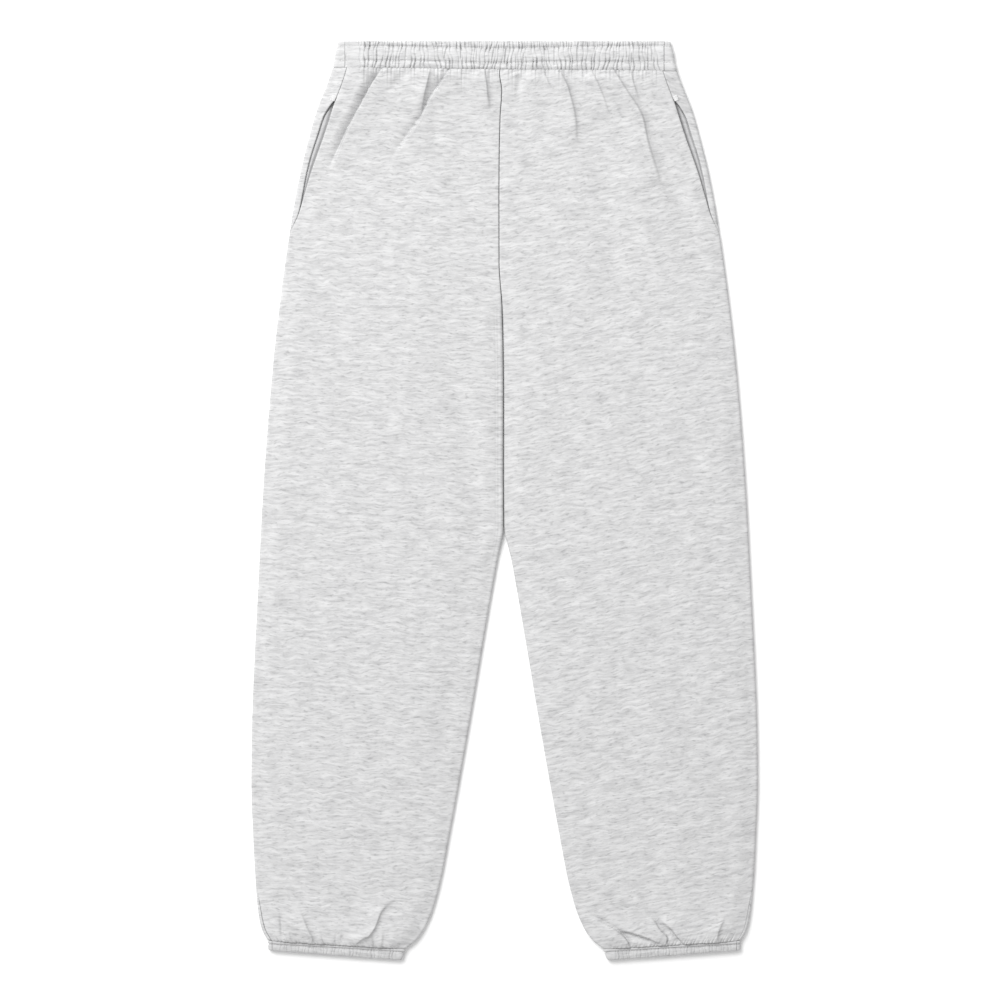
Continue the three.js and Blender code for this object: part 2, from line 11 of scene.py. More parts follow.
import bpy
import numpy as np
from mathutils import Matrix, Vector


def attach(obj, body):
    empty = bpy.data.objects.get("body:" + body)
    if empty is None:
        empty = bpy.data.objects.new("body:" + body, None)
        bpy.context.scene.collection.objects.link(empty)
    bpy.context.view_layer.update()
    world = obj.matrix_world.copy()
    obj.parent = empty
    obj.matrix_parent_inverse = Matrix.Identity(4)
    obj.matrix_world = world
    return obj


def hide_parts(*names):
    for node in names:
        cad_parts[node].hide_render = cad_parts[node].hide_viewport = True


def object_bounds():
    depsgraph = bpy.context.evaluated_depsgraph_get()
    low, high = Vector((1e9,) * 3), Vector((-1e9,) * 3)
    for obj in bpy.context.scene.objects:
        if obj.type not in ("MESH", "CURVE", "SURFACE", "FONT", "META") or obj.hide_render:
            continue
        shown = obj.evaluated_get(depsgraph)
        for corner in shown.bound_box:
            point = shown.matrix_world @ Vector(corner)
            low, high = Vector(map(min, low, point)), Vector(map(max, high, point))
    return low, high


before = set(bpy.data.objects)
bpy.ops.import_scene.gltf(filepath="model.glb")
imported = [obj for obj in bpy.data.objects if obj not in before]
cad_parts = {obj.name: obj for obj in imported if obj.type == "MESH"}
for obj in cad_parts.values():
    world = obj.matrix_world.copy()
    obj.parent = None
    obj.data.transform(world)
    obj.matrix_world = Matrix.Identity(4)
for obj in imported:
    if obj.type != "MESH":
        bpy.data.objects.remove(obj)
cad_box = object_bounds()
MM = 0.001
TOP = cad_box[1].y / MM  # the waist edge; a drop is a distance below it
print("frame:", len(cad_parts), "nodes, waist edge at", round(TOP, 2), "mm")

# %% [markdown]
# The photograph looks straight down on the garment. A camera with no rotation looks down -Z
# with +Y up, so only its place and lens matter. A long lens keeps the far ends of the legs from
# leaning outwards. What the picture covers at the level of the cloth, and the point at its
# middle, were measured from the photograph.

# %% Camera
PICTURE_WIDTH = 1120.0
PICTURE_MIDDLE = (-5.0, 0.7)
CLOTH_LEVEL = 8.0
LENS = 135.0
SENSOR = 36.0


def add_object(name, data):
    """An object at the origin with this mesh, light or camera."""
    made = bpy.data.objects.new(name, data)
    bpy.context.scene.collection.objects.link(made)
    return made


camera = add_object("camera", bpy.data.cameras.new("camera"))
camera.data.lens = LENS
camera.data.sensor_width = SENSOR
camera_height = PICTURE_WIDTH * LENS / SENSOR + CLOTH_LEVEL
camera.location = (PICTURE_MIDDLE[0] * MM, PICTURE_MIDDLE[1] * MM, camera_height * MM)
bpy.context.scene.camera = camera
print("camera", round(camera_height), "mm above the floor")

# %% [markdown]
# A studio table for clothes is lit softly from all round with one larger lamp at the upper
# left, so each puff of cloth is light on that side and shaded on the other, and the table turns
# white. The sky gives the even part here, and a square lamp gives the rest. It stands beyond
# the waist, so the legs turn a little darker towards the hems, as in the photograph. The
# Standard view keeps the greys as set.

# %% Floor and light
FLOOR_HALF = 30.0  # metres, as all sizes of the lamp
FLOOR_WHITE = 0.93
PAPER_ROUGHNESS = 0.9
SKY_STRENGTH = 0.68
LAMP_POWER = 168.0  # watts
LAMP_SIZE = 2.6
LAMP_AWAY = 4.3
LAMP_TILT = math.radians(38)
LAMP_TURN = math.radians(40)


def material_shell(name, colour, roughness):
    """A material with its Principled shader, whose constants sit on the shader's own sockets."""
    made = bpy.data.materials.new(name)
    made.use_nodes = True
    shader = made.node_tree.nodes["Principled BSDF"]
    shader.inputs["Base Color"].default_value = (*colour, 1)
    shader.inputs["Roughness"].default_value = roughness
    return made, shader


def add_floor():
    """One square at height 0."""
    h = FLOOR_HALF
    mesh = bpy.data.meshes.new("floor")
    mesh.from_pydata([(-h, -h, 0), (h, -h, 0), (h, h, 0), (-h, h, 0)], [], [(0, 1, 2, 3)])
    paper, _ = material_shell("white_paper", (FLOOR_WHITE,) * 3, PAPER_ROUGHNESS)
    mesh.materials.append(paper)
    floor = add_object("floor", mesh)


add_floor()
sky = bpy.data.worlds.new("soft_studio")
sky.use_nodes = True
sky.node_tree.nodes["Background"].inputs["Color"].default_value = (1, 1, 1, 1)
sky.node_tree.nodes["Background"].inputs["Strength"].default_value = SKY_STRENGTH
bpy.context.scene.world = sky
bpy.context.scene.view_settings.view_transform = "Standard"

tilt, around = LAMP_TILT, LAMP_TURN
lamp = add_object("softbox", bpy.data.lights.new("softbox", "AREA"))
lamp.data.energy = LAMP_POWER
lamp.data.size = LAMP_SIZE
lamp.rotation_euler = (-tilt, 0, around)
towards = np.array([
    -math.sin(around) * math.sin(tilt),
    math.cos(around) * math.sin(tilt),
    math.cos(tilt),
])
lamp.location = LAMP_AWAY * towards
lamp_part = LAMP_POWER * math.cos(tilt) / (math.pi * LAMP_AWAY) ** 2
print("floor receives", round(SKY_STRENGTH + lamp_part, 3))

# %% [markdown]
# The outline of the garment is the same as in the solids: short tables say how wide it is at
# some drops, and a smooth curve runs through their rows. Left and right are the wearer's, so
# the right leg lies at -X.

# %% Driving sizes
CLOTH = 2.2
SEAM_GAP = 0.15  # each piece stops this far short of the middle of a seam
EDGE_RADIUS = 2.3  # middle of the cloth where a leg turns over at its edge
QUARTER = EDGE_RADIUS * math.pi / 2
LOFT = 2.6  # how far the middle of a leg stands above its edges
EDGE_FADE = 22.0  # folds and loft die out over this distance from an edge
SEAM_RISE = {"waist": 2.2, "hem": 1.2, "reach": 26.0}  # the front climbs to meet a thicker casing
WAIST_RISE = {"high": 3.0, "reach": 62.0}  # and swells where the waistband lets it out
HEM_RISE = {"high": 2.2, "reach": 42.0}
RISE_START = 4.0
WAIST_DEPTH = {-1: 29.5, 0: 32.5, 1: 33.8}  # at the right end, the middle and the left end
WAIST_HALF = 194.0
CROTCH_DROP = 287.0
CLOSING = 40.0  # each leg closes into its own tube over this distance there
CLOSING_AHEAD = 0.3  # and has closed by this much at the crotch itself
CUFF_TOP = {"outer": 265.0, "outer_drop": 1007.6, "inner": 110.6, "inner_drop": 1016.8}

OUTER_EDGE = {
    "drop": [0, 37, 78, 112, 146, 213, 280, 347, 482, 616, 750, 834, 885, 952, 986, 997, 1007.6],
    "half": [186.8, 194.9, 210.6, 220.1, 228.5, 240.8, 250.3, 258.2, 269.4, 276.6, 282.8, 284.0,
             282.2, 278.3, 274.2, 271.0, 265.0],
}
INNER_EDGE = {
    "drop": [0, 543, 582, 683, 750, 885, 952, 986, 1006, 1016.8],
    "open": [0, 0, 7.6, 25.2, 36.4, 60.5, 73.9, 85.1, 97.4, 110.6],
}
PARTING_LINE = {
    "drop": [0, 37, 56, 85, 246, 300, 543, 582, 1017],
    "x": [1.5, -5.4, -3.0, -4.8, -6.0, -2.6, -0.8, 0, 0],
}
OUTSEAM = {
    "drop": [0, 64, 70, 83, 104, 125, 152, 174, 197, 209, 219, 940, 965, 1007.6],
    "seam": [16.2, 17.2, 17.3, 17.6, 16.6, 14.6, 11.6, 9.4, 6.2, 2.4, 0, 0, 3.0, 4.5],
    "gape": [0, 0, 2.8, 7.2, 7.4, 6.8, 4.3, 1.8, 0, 0, 0, 0, 0, 0],
}


def lerp(a, b, t):
    """From a to b as t goes from 0 to 1."""
    return a + (b - a) * t


def smooth(t):
    """An S curve from 0 to 1: three times t squared less twice t cubed."""
    t = np.clip(t, 0, 1)
    return t * t * (3 - 2 * t)


def bump(distance, reach):
    """A bell of height 1: e to the minus square of distance over reach."""
    return np.exp(-((distance / reach) ** 2))


def uneven(k, seed):
    """From -1 to 1 with no pattern that the eye can see: two sines of k at rates that don't match."""
    return 0.6 * np.sin(2.4 * k + seed) + 0.4 * np.sin(5.1 * k + 3 * seed)


def along(table, column, drop, key="drop"):
    """A table's column at any drops: a cubic curve through its rows, whose slope at a row is the mean of
    the slopes on both sides, or level where they change sign."""
    at = np.array(table[key], float)
    value = np.array(table[column], float)
    rate = np.diff(value) / np.diff(at)
    between = np.where(rate[:-1] * rate[1:] <= 0, 0, (rate[:-1] + rate[1:]) / 2)
    slope = np.concatenate([rate[:1], between, rate[-1:]])
    d = np.clip(drop, at[0], at[-1])
    i = np.clip(np.searchsorted(at, d, side="right") - 1, 0, len(at) - 2)
    span = at[i + 1] - at[i]
    t = (d - at[i]) / span
    start = value[i] * (1 + 2 * t) * (1 - t) ** 2 + slope[i] * span * t * (1 - t) ** 2
    end = value[i + 1] * t * t * (3 - 2 * t) - slope[i + 1] * span * t * t * (1 - t)
    return start + end


def waist_depth(x):
    """Height of the waistband: straight lines from its middle to each end."""
    end = np.where(x < 0, WAIST_DEPTH[-1], WAIST_DEPTH[1])
    return lerp(WAIST_DEPTH[0], end, np.minimum(np.abs(x) / WAIST_HALF, 1))


def turn(a, radius):
    """Round a turned-over edge, a along the cloth from its outermost line: a quarter circle, then flat.
    Gives how far in that is, and how far above the middle of the turn, or below it for a negative a."""
    quarter = radius * math.pi / 2
    angle = np.minimum(np.abs(a), quarter) / radius
    inwards = radius * (1 - np.cos(angle)) + np.maximum(np.abs(a) - quarter, 0)
    return inwards, np.sign(a) * radius * np.sin(angle)

# %% [markdown]
# Laid flat, soft fleece breaks into folds where a seam holds more cloth than it can lie flat:
# below the waistband and above the cuffs. Such a fold is a lap: a round back rises to a crisp
# edge, and the cloth drops down a short face into a valley beside it. Further down the legs
# there are only long soft troughs. Each fold is a row of a table, and its height is a formula
# of the distance from its course.

# %% Folds of the front
def fold(start, end, wide, high, deep, lean, bow=0.0, via=(), face=1.5, keeps=0.1, tail=2.0):
    """One fold: from start to end as (x, drop), how wide, how high its back and how deep its valley, on
    which side of its course the valley lies, how the course bends or which points it goes through, how
    wide its steep face is at the start, how much is left of it at its end, and how fast its valley
    levels out. A valley as high as the back makes a fold that only falls away on one side."""
    return {"start": start, "end": end, "wide": wide, "high": high, "deep": deep, "lean": lean,
            "bow": bow, "via": via, "face": face, "keeps": keeps, "tail": tail}


FRONT_FOLDS = [
    # let out by the waistband, on the wearer's right
    fold((-137.4, 32), (-191, 134), 12.5, 3.0, 9.6, 1, face=1.2, keeps=0.35,
         via=[(-146.9, 45.9), (-160.5, 70.6), (-174.2, 96.3), (-186.3, 123.2)]),
    fold((-61.5, 33), (-122, 126), 12, 2.8, 5.6, 1, face=1.4, keeps=0.3,
         via=[(-71.1, 47), (-82.3, 62.4), (-88.5, 74.6), (-94, 86.8), (-102.5, 98.6)]),
    fold((-83.5, 34), (-94, 84), 7, 4.2, -3.2, -1, face=1.1, keeps=0.3, tail=3,
         via=[(-85.7, 44.8), (-89, 58.2)]),
    fold((-21.5, 34), (-17.9, 70), 9, 5.4, -3.6, -1, face=1.1, keeps=0.8, tail=3),
    # and on the wearer's left
    fold((43, 33), (52, 54), 9, 3.2, -2.0, -1, face=2.0, keeps=0.4, tail=4),
    fold((60.5, 32), (80.3, 108), 13, 5.6, -3.8, -1, face=2.3, keeps=0.35, tail=4,
         via=[(72.2, 55.6), (79.3, 85.6)]),
    fold((97, 33), (116, 82), 13, 4.4, -3.0, -1, face=2.6, keeps=0.3, tail=4,
         via=[(104.5, 49.3), (110.8, 64.2)]),
    fold((121.5, 32), (172.5, 152), 19, 7.2, -4.6, -1, face=2.5, keeps=0.5, tail=4,
         via=[(136.4, 55.6), (153.6, 82.7), (160.7, 112.7)]),
    fold((140.5, 33), (148.5, 62), 5, 2.8, -1.6, -1, face=1.0, keeps=0.5, tail=3),
    # gathers let out by the right cuff
    fold((-215.9, 1010), (-229, 974), 6, 4.4, -2.6, 1, face=1.2, keeps=0.3, tail=3,
         via=[(-214.8, 1004.2), (-219.6, 994.6), (-224.2, 984.5)]),
    fold((-235, 1009), (-241.5, 996), 5, 2.6, -1.6, 1, bow=-1.5, face=1.4, tail=3),
    fold((-202, 1011), (-206.5, 1000), 5, 3.0, -1.4, 1, face=1.0, keeps=0.4, tail=3),
    fold((-164.9, 1010), (-124, 961), 8, 4.8, -3.2, 1, face=1.3, keeps=0.3, tail=3.4,
         via=[(-159.7, 1005.9), (-150.5, 1000.7), (-144.3, 991.5), (-141.3, 983.6), (-138.5, 976.2),
              (-134.5, 970.4)]),
    fold((-146.8, 1015), (-150, 1001.5), 5, 3.2, -1.8, 1, bow=1.0, face=1.0, keeps=0.6, tail=3),
    fold((-136.8, 1016), (-136.8, 1001), 5, 2.6, -1.4, 1, face=1.0, keeps=0.6, tail=3),
    # and by the left cuff
    fold((141.3, 1016), (94, 979), 9, 2.8, 5.4, 1, face=1.8, keeps=0.4,
         via=[(136.8, 1006.4), (128.8, 998.4), (114.5, 989.3)]),
    fold((170, 1009), (134, 998), 10, 2.8, 5.2, -1, bow=1.5, face=1.8, keeps=0.5),
    fold((181.3, 1010), (160, 977), 8, 2.2, 3.2, 1, face=2.0, keeps=0.4,
         via=[(181.9, 1002.4), (172.8, 992.8), (169.3, 986.9)]),
    fold((203, 1013), (179, 989.5), 11, 2.6, 5.4, -1, face=1.6, keeps=0.5,
         via=[(191.7, 1001.9), (187.2, 995.7)]),
    fold((227, 1010), (228, 1001), 5, 2.4, -1.2, 1, face=1.0, tail=3),
    fold((238.7, 1010), (245, 984), 9, 4.4, -3.0, 1, face=1.6, keeps=0.3, tail=4,
         via=[(238.7, 1000)]),
]
FRONT_TROUGHS = [
    # short dips below the waistband
    fold((-104, 34), (-127, 54), 5.5, 0, 2.8, 0, bow=2),
    fold((-57, 37), (-25, 80), 8, 0, 2.6, 0, bow=-5),
    fold((-77.8, 74), (-77.8, 126), 5, 0, 1.0, 0),
    fold((21, 36), (15.5, 64), 4, 0, 2.0, 0, bow=2),
    # the allowance of the front seam, turned to one side
    fold((1.5, 46), (1.5, 190), 4.5, 0, -0.5, 0),
    # and above the cuffs
    fold((-248.5, 1004), (-250.5, 978), 2.2, 0, 2.6, 0),
    fold((-153, 989), (-168, 976), 2.8, 0, 2.4, 0, bow=1),
    fold((-189.2, 1011), (-188.6, 1000), 1.4, 0, 1.2, 0),
    fold((-182, 1011), (-182.6, 1000), 1.4, 0, 1.2, 0),
    # long soft troughs of the thighs, with no steep side
    fold((-50, 90), (-33, 254), 14, 0, 1.6, 0),
    fold((-190, 318), (-124, 362), 18, 0, 1.4, 0),
    fold((-74, 318), (-33, 540), 13, 0, 2.4, 0, bow=-6),
    fold((-33, 540), (-92, 900), 13, 0, 2.2, 0, bow=-8),
    fold((82, 70), (124, 312), 15, 0, 2.2, 0, bow=-14),
    fold((143, 70), (246, 370), 14, 0, 2.2, 0, bow=-16),
    # and two broad swells, which are troughs turned over
    fold((-100, 190), (-88, 380), 24, 0, -1.4, 0),
    fold((30, 250), (60, 480), 26, 0, -1.2, 0),
]
BACK_SHARE = 1.4  # how far a fold's round back reaches, as a share of its width
SOFT_FACE = 5.0  # width of the face where the fold dies out
PAST_REACH = 5.0  # a lap dies out over this beyond its ends
TROUGH_RUN = (0.15, 0.9)  # the part of a half wave that a trough follows along its run
HELD = {"share": 0.5, "reach": 7.0}  # seams hold folds down by this, out to this distance


def course_bend(row, ux, ud, run):
    """How far a course goes to its side at a run: the outline's cubic curve, through its points."""
    x0, drop0 = row["start"]
    points = [row["start"], *row["via"], row["end"]]
    table = {
        "run": [(x - x0) * ux + (drop - drop0) * ud for x, drop in points],
        "aside": [(drop - drop0) * ux - (x - x0) * ud for x, drop in points],
    }
    return along(table, "aside", run, "run")


def fold_course(row, x, drop):
    """Where places lie beside a fold: t from 0 to 1 along it, how far past its ends, and how far to its
    side. The course bows as a parabola, or goes through the points that its row gives."""
    (x0, drop0), (x1, drop1) = row["start"], row["end"]
    length = math.hypot(x1 - x0, drop1 - drop0)
    ux, ud = (x1 - x0) / length, (drop1 - drop0) / length
    run = (x - x0) * ux + (drop - drop0) * ud
    t = np.clip(run / length, 0, 1)
    bend = row["bow"] * 4 * t * (1 - t)
    if row["via"]:
        bend = course_bend(row, ux, ud, t * length)
    return t, run - t * length, (drop - drop0) * ux - (x - x0) * ud - bend


def lap_height(row, x, drop):
    """A lap: its back is half a bell, its face an S curve down, and its valley a curve that rises again,
    or falls on from the back where the valley's depth is below 0, and levels out at the fold's width."""
    t, past, aside = fold_course(row, x, drop)
    s = aside * row["lean"]
    face = smooth(s / lerp(row["face"], SOFT_FACE, t**4) + 0.5)
    back = row["high"] * bump(np.minimum(s, 0), row["wide"] * BACK_SHARE)
    ramp = row["deep"] * (1 - np.clip(s / row["wide"], 0, 1)) ** row["tail"]
    fades = bump(past, PAST_REACH) * lerp(1, row["keeps"], t**3)
    return fades * (back * (1 - face) - ramp * face)


def trough_height(row, x, drop):
    """A trough: a bell across it, and part of a half wave along it."""
    t, past, aside = fold_course(row, x, drop)
    wave = np.sin(math.pi * lerp(TROUGH_RUN[0], TROUGH_RUN[1], t))
    return -row["deep"] * wave * bump(aside, row["wide"]) * bump(past, row["wide"])


def fold_height(x, drop, laps, troughs):
    """The sum of all the folds."""
    height = np.zeros(np.broadcast(x, drop).shape)
    for row in laps:
        height += lap_height(row, x, drop)
    for row in troughs:
        height += trough_height(row, x, drop)
    return height


print("folds:", len(FRONT_FOLDS), "laps and", len(FRONT_TROUGHS), "troughs")

# %% [markdown]
# Elastic is sewn in stretched, and when it relaxes the cloth over it gathers into small puffs
# with sharp grooves between them. The grooves run across the band, a few millimetres apart and
# unevenly so. One list of places serves the waistband and the panels below it, because the same
# stitches hold both. A height along it then needs no loop: a place is turned into a number of
# grooves by interpolation.

# %% Gathers
UNEVEN_PITCH = 0.32  # a groove strays from its even place by up to this share of the pitch
UNEVEN_DEPTH = 0.28  # and may be shallower by up to twice this share
ARCH_POWER = 2.6  # how flat-topped a puff is
PUFF = {"even": 0.75, "sway": 0.25}
ENDS_OVER = 4.0  # gathers begin and end over this distance


def groove_places(count, first, last):
    """Uneven places of grooves, the same ones as in the solids."""
    k = np.arange(count + 1)
    sway = np.where((k == 0) | (k == count), 0, UNEVEN_PITCH * uneven(k, 1))
    return first + (last - first) / count * (k + sway)


def gather_height(s, places, deep, puff, narrow, seed):
    """Puffs between grooves: a rounded arch from each groove to the next, less a narrow bell at
    each."""
    k = np.arange(len(places))
    number = np.interp(s, places, k)
    near = np.rint(number).astype(int)
    share = number - np.floor(number)
    depth = deep * (1 - UNEVEN_DEPTH * (1 + uneven(k, seed)))
    arch = 1 - np.abs(2 * share - 1) ** ARCH_POWER
    stands = PUFF["even"] + PUFF["sway"] * uneven(np.floor(number), seed + 1)
    begins = smooth((s - places[0]) / ENDS_OVER + 0.5)
    inside = begins * smooth((places[-1] - s) / ENDS_OVER + 0.5)
    return inside * (puff * stands * arch - depth[near] * bump(s - places[near], narrow))


WAIST_GROOVES = groove_places(64, -162.0, 171.0)
CUFF_GROOVES = groove_places(34, 7.0, 145.0)
print("grooves in the waistband:", len(WAIST_GROOVES), "and in each cuff:", len(CUFF_GROOVES))

# %% [markdown]
# Every piece of cloth is one closed wall: a fine grid on its outside, a plainer grid within,
# and a rim that joins them. Cloth turns in where it is sewn, so the outside also rolls down
# towards each sewn edge. That roll is what draws a seam as a soft dark line. The grid inside
# keeps one point in four each way, and the rim steps between the two with fans of triangles.

# %% Walls of cloth
KEEP = 4  # the inside keeps one row and one column in this many
ROLL = 1.6  # the outside rolls down over this distance at a sewn edge
TIGHT_ROLL = 0.6  # and over this where gathers push the two pieces together
HEM_ROLL = 1.0  # and over this at the hems
WAIST_LEAST = 0.85  # what is left of half the thickness at the waist seam
HEM_LEAST = 0.86  # at a hem seam
LEAST = 0.12  # and at any other seam
ALLOWANCE = {"deep": 1.4, "reach": 3.0}  # cloth turned in under the front at both


def surface_normals(points):
    """Unit normals of a grid: the cross product of its slopes across and down."""
    across = np.gradient(points, axis=1)
    down = np.gradient(points, axis=0)
    normal = np.cross(across, down)
    return normal / np.linalg.norm(normal, axis=2, keepdims=True)


def grid_faces(count_down, count_across, first):
    """Corner numbers of all the squares of a grid whose points are numbered row by row from first."""
    corner = first + np.arange(count_down * count_across).reshape(count_down, count_across)
    a, b, c, d = corner[:-1, :-1], corner[:-1, 1:], corner[1:, 1:], corner[1:, :-1]
    return np.stack([a, b, c, d], axis=2).reshape(-1, 4)


def rim_faces(fine, coarse):
    """Triangles between a fine run of points and a coarse one with every KEEP-th of them."""
    j = np.arange(len(fine) - 1)
    owner = (j + KEEP // 2) // KEEP
    fans = np.stack([fine[j], coarse[owner], fine[j + 1]], axis=1)
    i = np.arange(len(coarse) - 1)
    bridges = np.stack([coarse[i], coarse[i + 1], fine[i * KEEP + KEEP // 2]], axis=1)
    return np.concatenate([fans, bridges])


def cloth_mesh(name, outside, within, grain, material):
    """A closed mesh from its two grids. Its UV map is the cloth's own surface, in metres."""
    rows, columns = outside.shape[:2]
    kept = within[::KEEP, ::KEEP]
    points = np.concatenate([outside.reshape(-1, 3), kept.reshape(-1, 3)]) * MM
    top = np.arange(rows * columns).reshape(rows, columns)
    under = rows * columns + np.arange(kept.shape[0] * kept.shape[1]).reshape(kept.shape[:2])
    quads = [grid_faces(rows, columns, 0), grid_faces(*kept.shape[:2], rows * columns)[:, ::-1]]
    rims = [
        rim_faces(top[0], under[0]),
        rim_faces(top[-1], under[-1])[:, ::-1],
        rim_faces(top[:, 0], under[:, 0])[:, ::-1],
        rim_faces(top[:, -1], under[:, -1]),
    ]
    quads = np.concatenate(quads)
    triangles = np.concatenate(rims)
    if facing_volume(points, quads, triangles) < 0:
        quads, triangles = quads[:, ::-1], triangles[:, ::-1]
    kept_grain = grain[::KEEP, ::KEEP].reshape(-1, 2)
    coordinates = np.concatenate([grain.reshape(-1, 2), kept_grain]) * MM
    return put_mesh(name, points, quads, triangles, coordinates, material)


def facing_volume(points, quads, triangles):
    """Six times the volume inside: the sum over the faces of the triple products of their corners."""
    halves = np.concatenate([quads[:, [0, 1, 2]], quads[:, [0, 2, 3]], triangles])
    a, b, c = (points[halves[:, k]] for k in range(3))
    return np.einsum("ij,ij->", a, np.cross(b, c))


def put_mesh(name, points, quads, triangles, coordinates, material):
    """Puts points and faces into a smooth shaded mesh with foreach_set, and adds it as an object."""
    mesh = bpy.data.meshes.new(name)
    corners = np.concatenate([quads.ravel(), triangles.ravel()]).astype(np.int32)
    sizes = np.concatenate([np.full(len(quads), 4), np.full(len(triangles), 3)])
    starts = np.concatenate([[0], np.cumsum(sizes)[:-1]]).astype(np.int32)
    mesh.vertices.add(len(points))
    mesh.vertices.foreach_set("co", points.astype(np.float32).ravel())
    mesh.loops.add(len(corners))
    mesh.loops.foreach_set("vertex_index", corners)
    mesh.polygons.add(len(sizes))
    mesh.polygons.foreach_set("loop_start", starts)
    mesh.polygons.foreach_set("use_smooth", np.ones(len(sizes), bool))
    mesh.update(calc_edges=True)
    mesh.validate()
    if coordinates is not None:
        layer = mesh.uv_layers.new(name="cloth")
        layer.data.foreach_set("uv", coordinates[corners].astype(np.float32).ravel())
    mesh.materials.append(material)
    return add_object(name, mesh)


def rolled(distance, reach=ROLL, least=LEAST):
    """How much of half the cloth's thickness the outside keeps at a distance from a sewn edge: a
    quarter circle from the least at the edge to all of it."""
    t = np.clip(distance / reach, 0, 1)
    return least + (1 - least) * np.sqrt(1 - (1 - t) ** 2)

# %% [markdown]
# Heather is spun from light and dark fibres, so the knitted face shows short darker streaks
# that lie across the leg and waver a little. Image textures aren't needed: noise stretched far
# along one direction of the UV map gives streaks, a second finer one gives flecks, and a broad
# one lets some places be a little darker. The same noises raise a faint nap in the bump, and a
# low sheen gives the brushed edge its glow.

# %% Heather material
NOISES = {
    "streak": {"cells": (62, 340, 1), "detail": 3.0, "rough": 0.6, "low": 0.36, "high": 0.68},
    "fleck": {"cells": (150, 520, 1), "detail": 2.0, "rough": 0.5, "low": 0.54, "high": 0.74},
    "patch": {"cells": (30, 90, 1), "detail": 2.0, "rough": 0.5, "low": 0.3, "high": 0.7},
}
FIBRE = {"cells": (700, 1500, 1), "detail": 1.0, "rough": 0.5}
WAVER = {"cells": 55.0, "detail": 1.0, "shift": 0.0065}
SHARES = {"patch": 0.25, "fibre": 0.15, "nap": 0.6}
NAP = {"Strength": 0.35, "Distance": 0.0004}
FLEECE_SHADER = {"Sheen Weight": 0.02, "Sheen Roughness": 0.6, "Specular IOR Level": 0.08}
FLEECE_ROUGHNESS = 0.95


class Nodes:
    """A short way to add shader nodes to one material and link them."""

    def __init__(self, material):
        self.tree = material.node_tree

    def add(self, kind, **settings):
        node = self.tree.nodes.new(kind)
        for key, value in settings.items():
            setattr(node, key, value)
        return node

    def link(self, source, target):
        self.tree.links.new(source, target)

    def math(self, operation, a, b, clamp=False):
        """One Math node of two inputs, each a socket or a number."""
        node = self.add("ShaderNodeMath", operation=operation, use_clamp=clamp)
        for socket, value in zip(node.inputs, (a, b)):
            if isinstance(value, (int, float)):
                socket.default_value = value
            else:
                self.link(value, socket)
        return node.outputs[0]

    def noise(self, where, cells, detail, rough):
        """Noise of the coordinates where, with so many cells to the metre each way."""
        mapping = self.add("ShaderNodeMapping")
        mapping.inputs["Scale"].default_value = cells
        self.link(where, mapping.inputs["Vector"])
        noise = self.add("ShaderNodeTexNoise")
        noise.inputs["Scale"].default_value = 1.0
        noise.inputs["Detail"].default_value = detail
        noise.inputs["Roughness"].default_value = rough
        self.link(mapping.outputs["Vector"], noise.inputs["Vector"])
        return noise.outputs["Fac"]

    def stretched(self, where, cells, detail, rough, low, high):
        """Noise whose range from low to high is stretched to run from 0 to 1."""
        node = self.add("ShaderNodeMapRange")
        node.inputs["From Min"].default_value = low
        node.inputs["From Max"].default_value = high
        self.link(self.noise(where, cells, detail, rough), node.inputs["Value"])
        return node.outputs["Result"]

    def mix(self, factor, first, second):
        """The colour between two greys at a factor."""
        node = self.add("ShaderNodeMix", data_type="RGBA")
        node.inputs["A"].default_value = (*first, 1)
        node.inputs["B"].default_value = (*second, 1)
        self.link(factor, node.inputs["Factor"])
        return node.outputs["Result"]


def heather(name, light, dark, streaks, flecks):
    """Fleece: streaks, flecks and broad patches choose between a light and a dark grey."""
    made, shader = material_shell(name, light, FLEECE_ROUGHNESS)
    for socket, value in FLEECE_SHADER.items():
        shader.inputs[socket].default_value = value
    n = Nodes(made)
    cloth = n.add("ShaderNodeUVMap", uv_map="cloth").outputs["UV"]
    waver = n.add("ShaderNodeTexNoise")
    waver.inputs["Scale"].default_value = WAVER["cells"]
    waver.inputs["Detail"].default_value = WAVER["detail"]
    n.link(cloth, waver.inputs["Vector"])
    shift = n.add("ShaderNodeVectorMath", operation="SCALE")
    shift.inputs["Scale"].default_value = WAVER["shift"]
    n.link(waver.outputs["Color"], shift.inputs[0])
    place = n.add("ShaderNodeVectorMath", operation="ADD")
    n.link(cloth, place.inputs[0])
    n.link(shift.outputs["Vector"], place.inputs[1])
    where = place.outputs["Vector"]
    streak, fleck, patch = (n.stretched(where, **row) for row in NOISES.values())
    fibre = n.noise(where, **FIBRE)
    mixed = n.math("ADD", n.math("MULTIPLY", streak, streaks), n.math("MULTIPLY", fleck, flecks))
    mixed = n.math("ADD", mixed, n.math("MULTIPLY", patch, SHARES["patch"]))
    mixed = n.math("ADD", mixed, n.math("MULTIPLY", fibre, SHARES["fibre"]), clamp=True)
    n.link(n.mix(mixed, light, dark), shader.inputs["Base Color"])
    raised = n.add("ShaderNodeBump")
    for socket, value in NAP.items():
        raised.inputs[socket].default_value = value
    nap = n.math("ADD", n.math("MULTIPLY", streak, SHARES["nap"]), fibre)
    n.link(nap, raised.inputs["Height"])
    n.link(raised.outputs["Normal"], shader.inputs["Normal"])
    return made


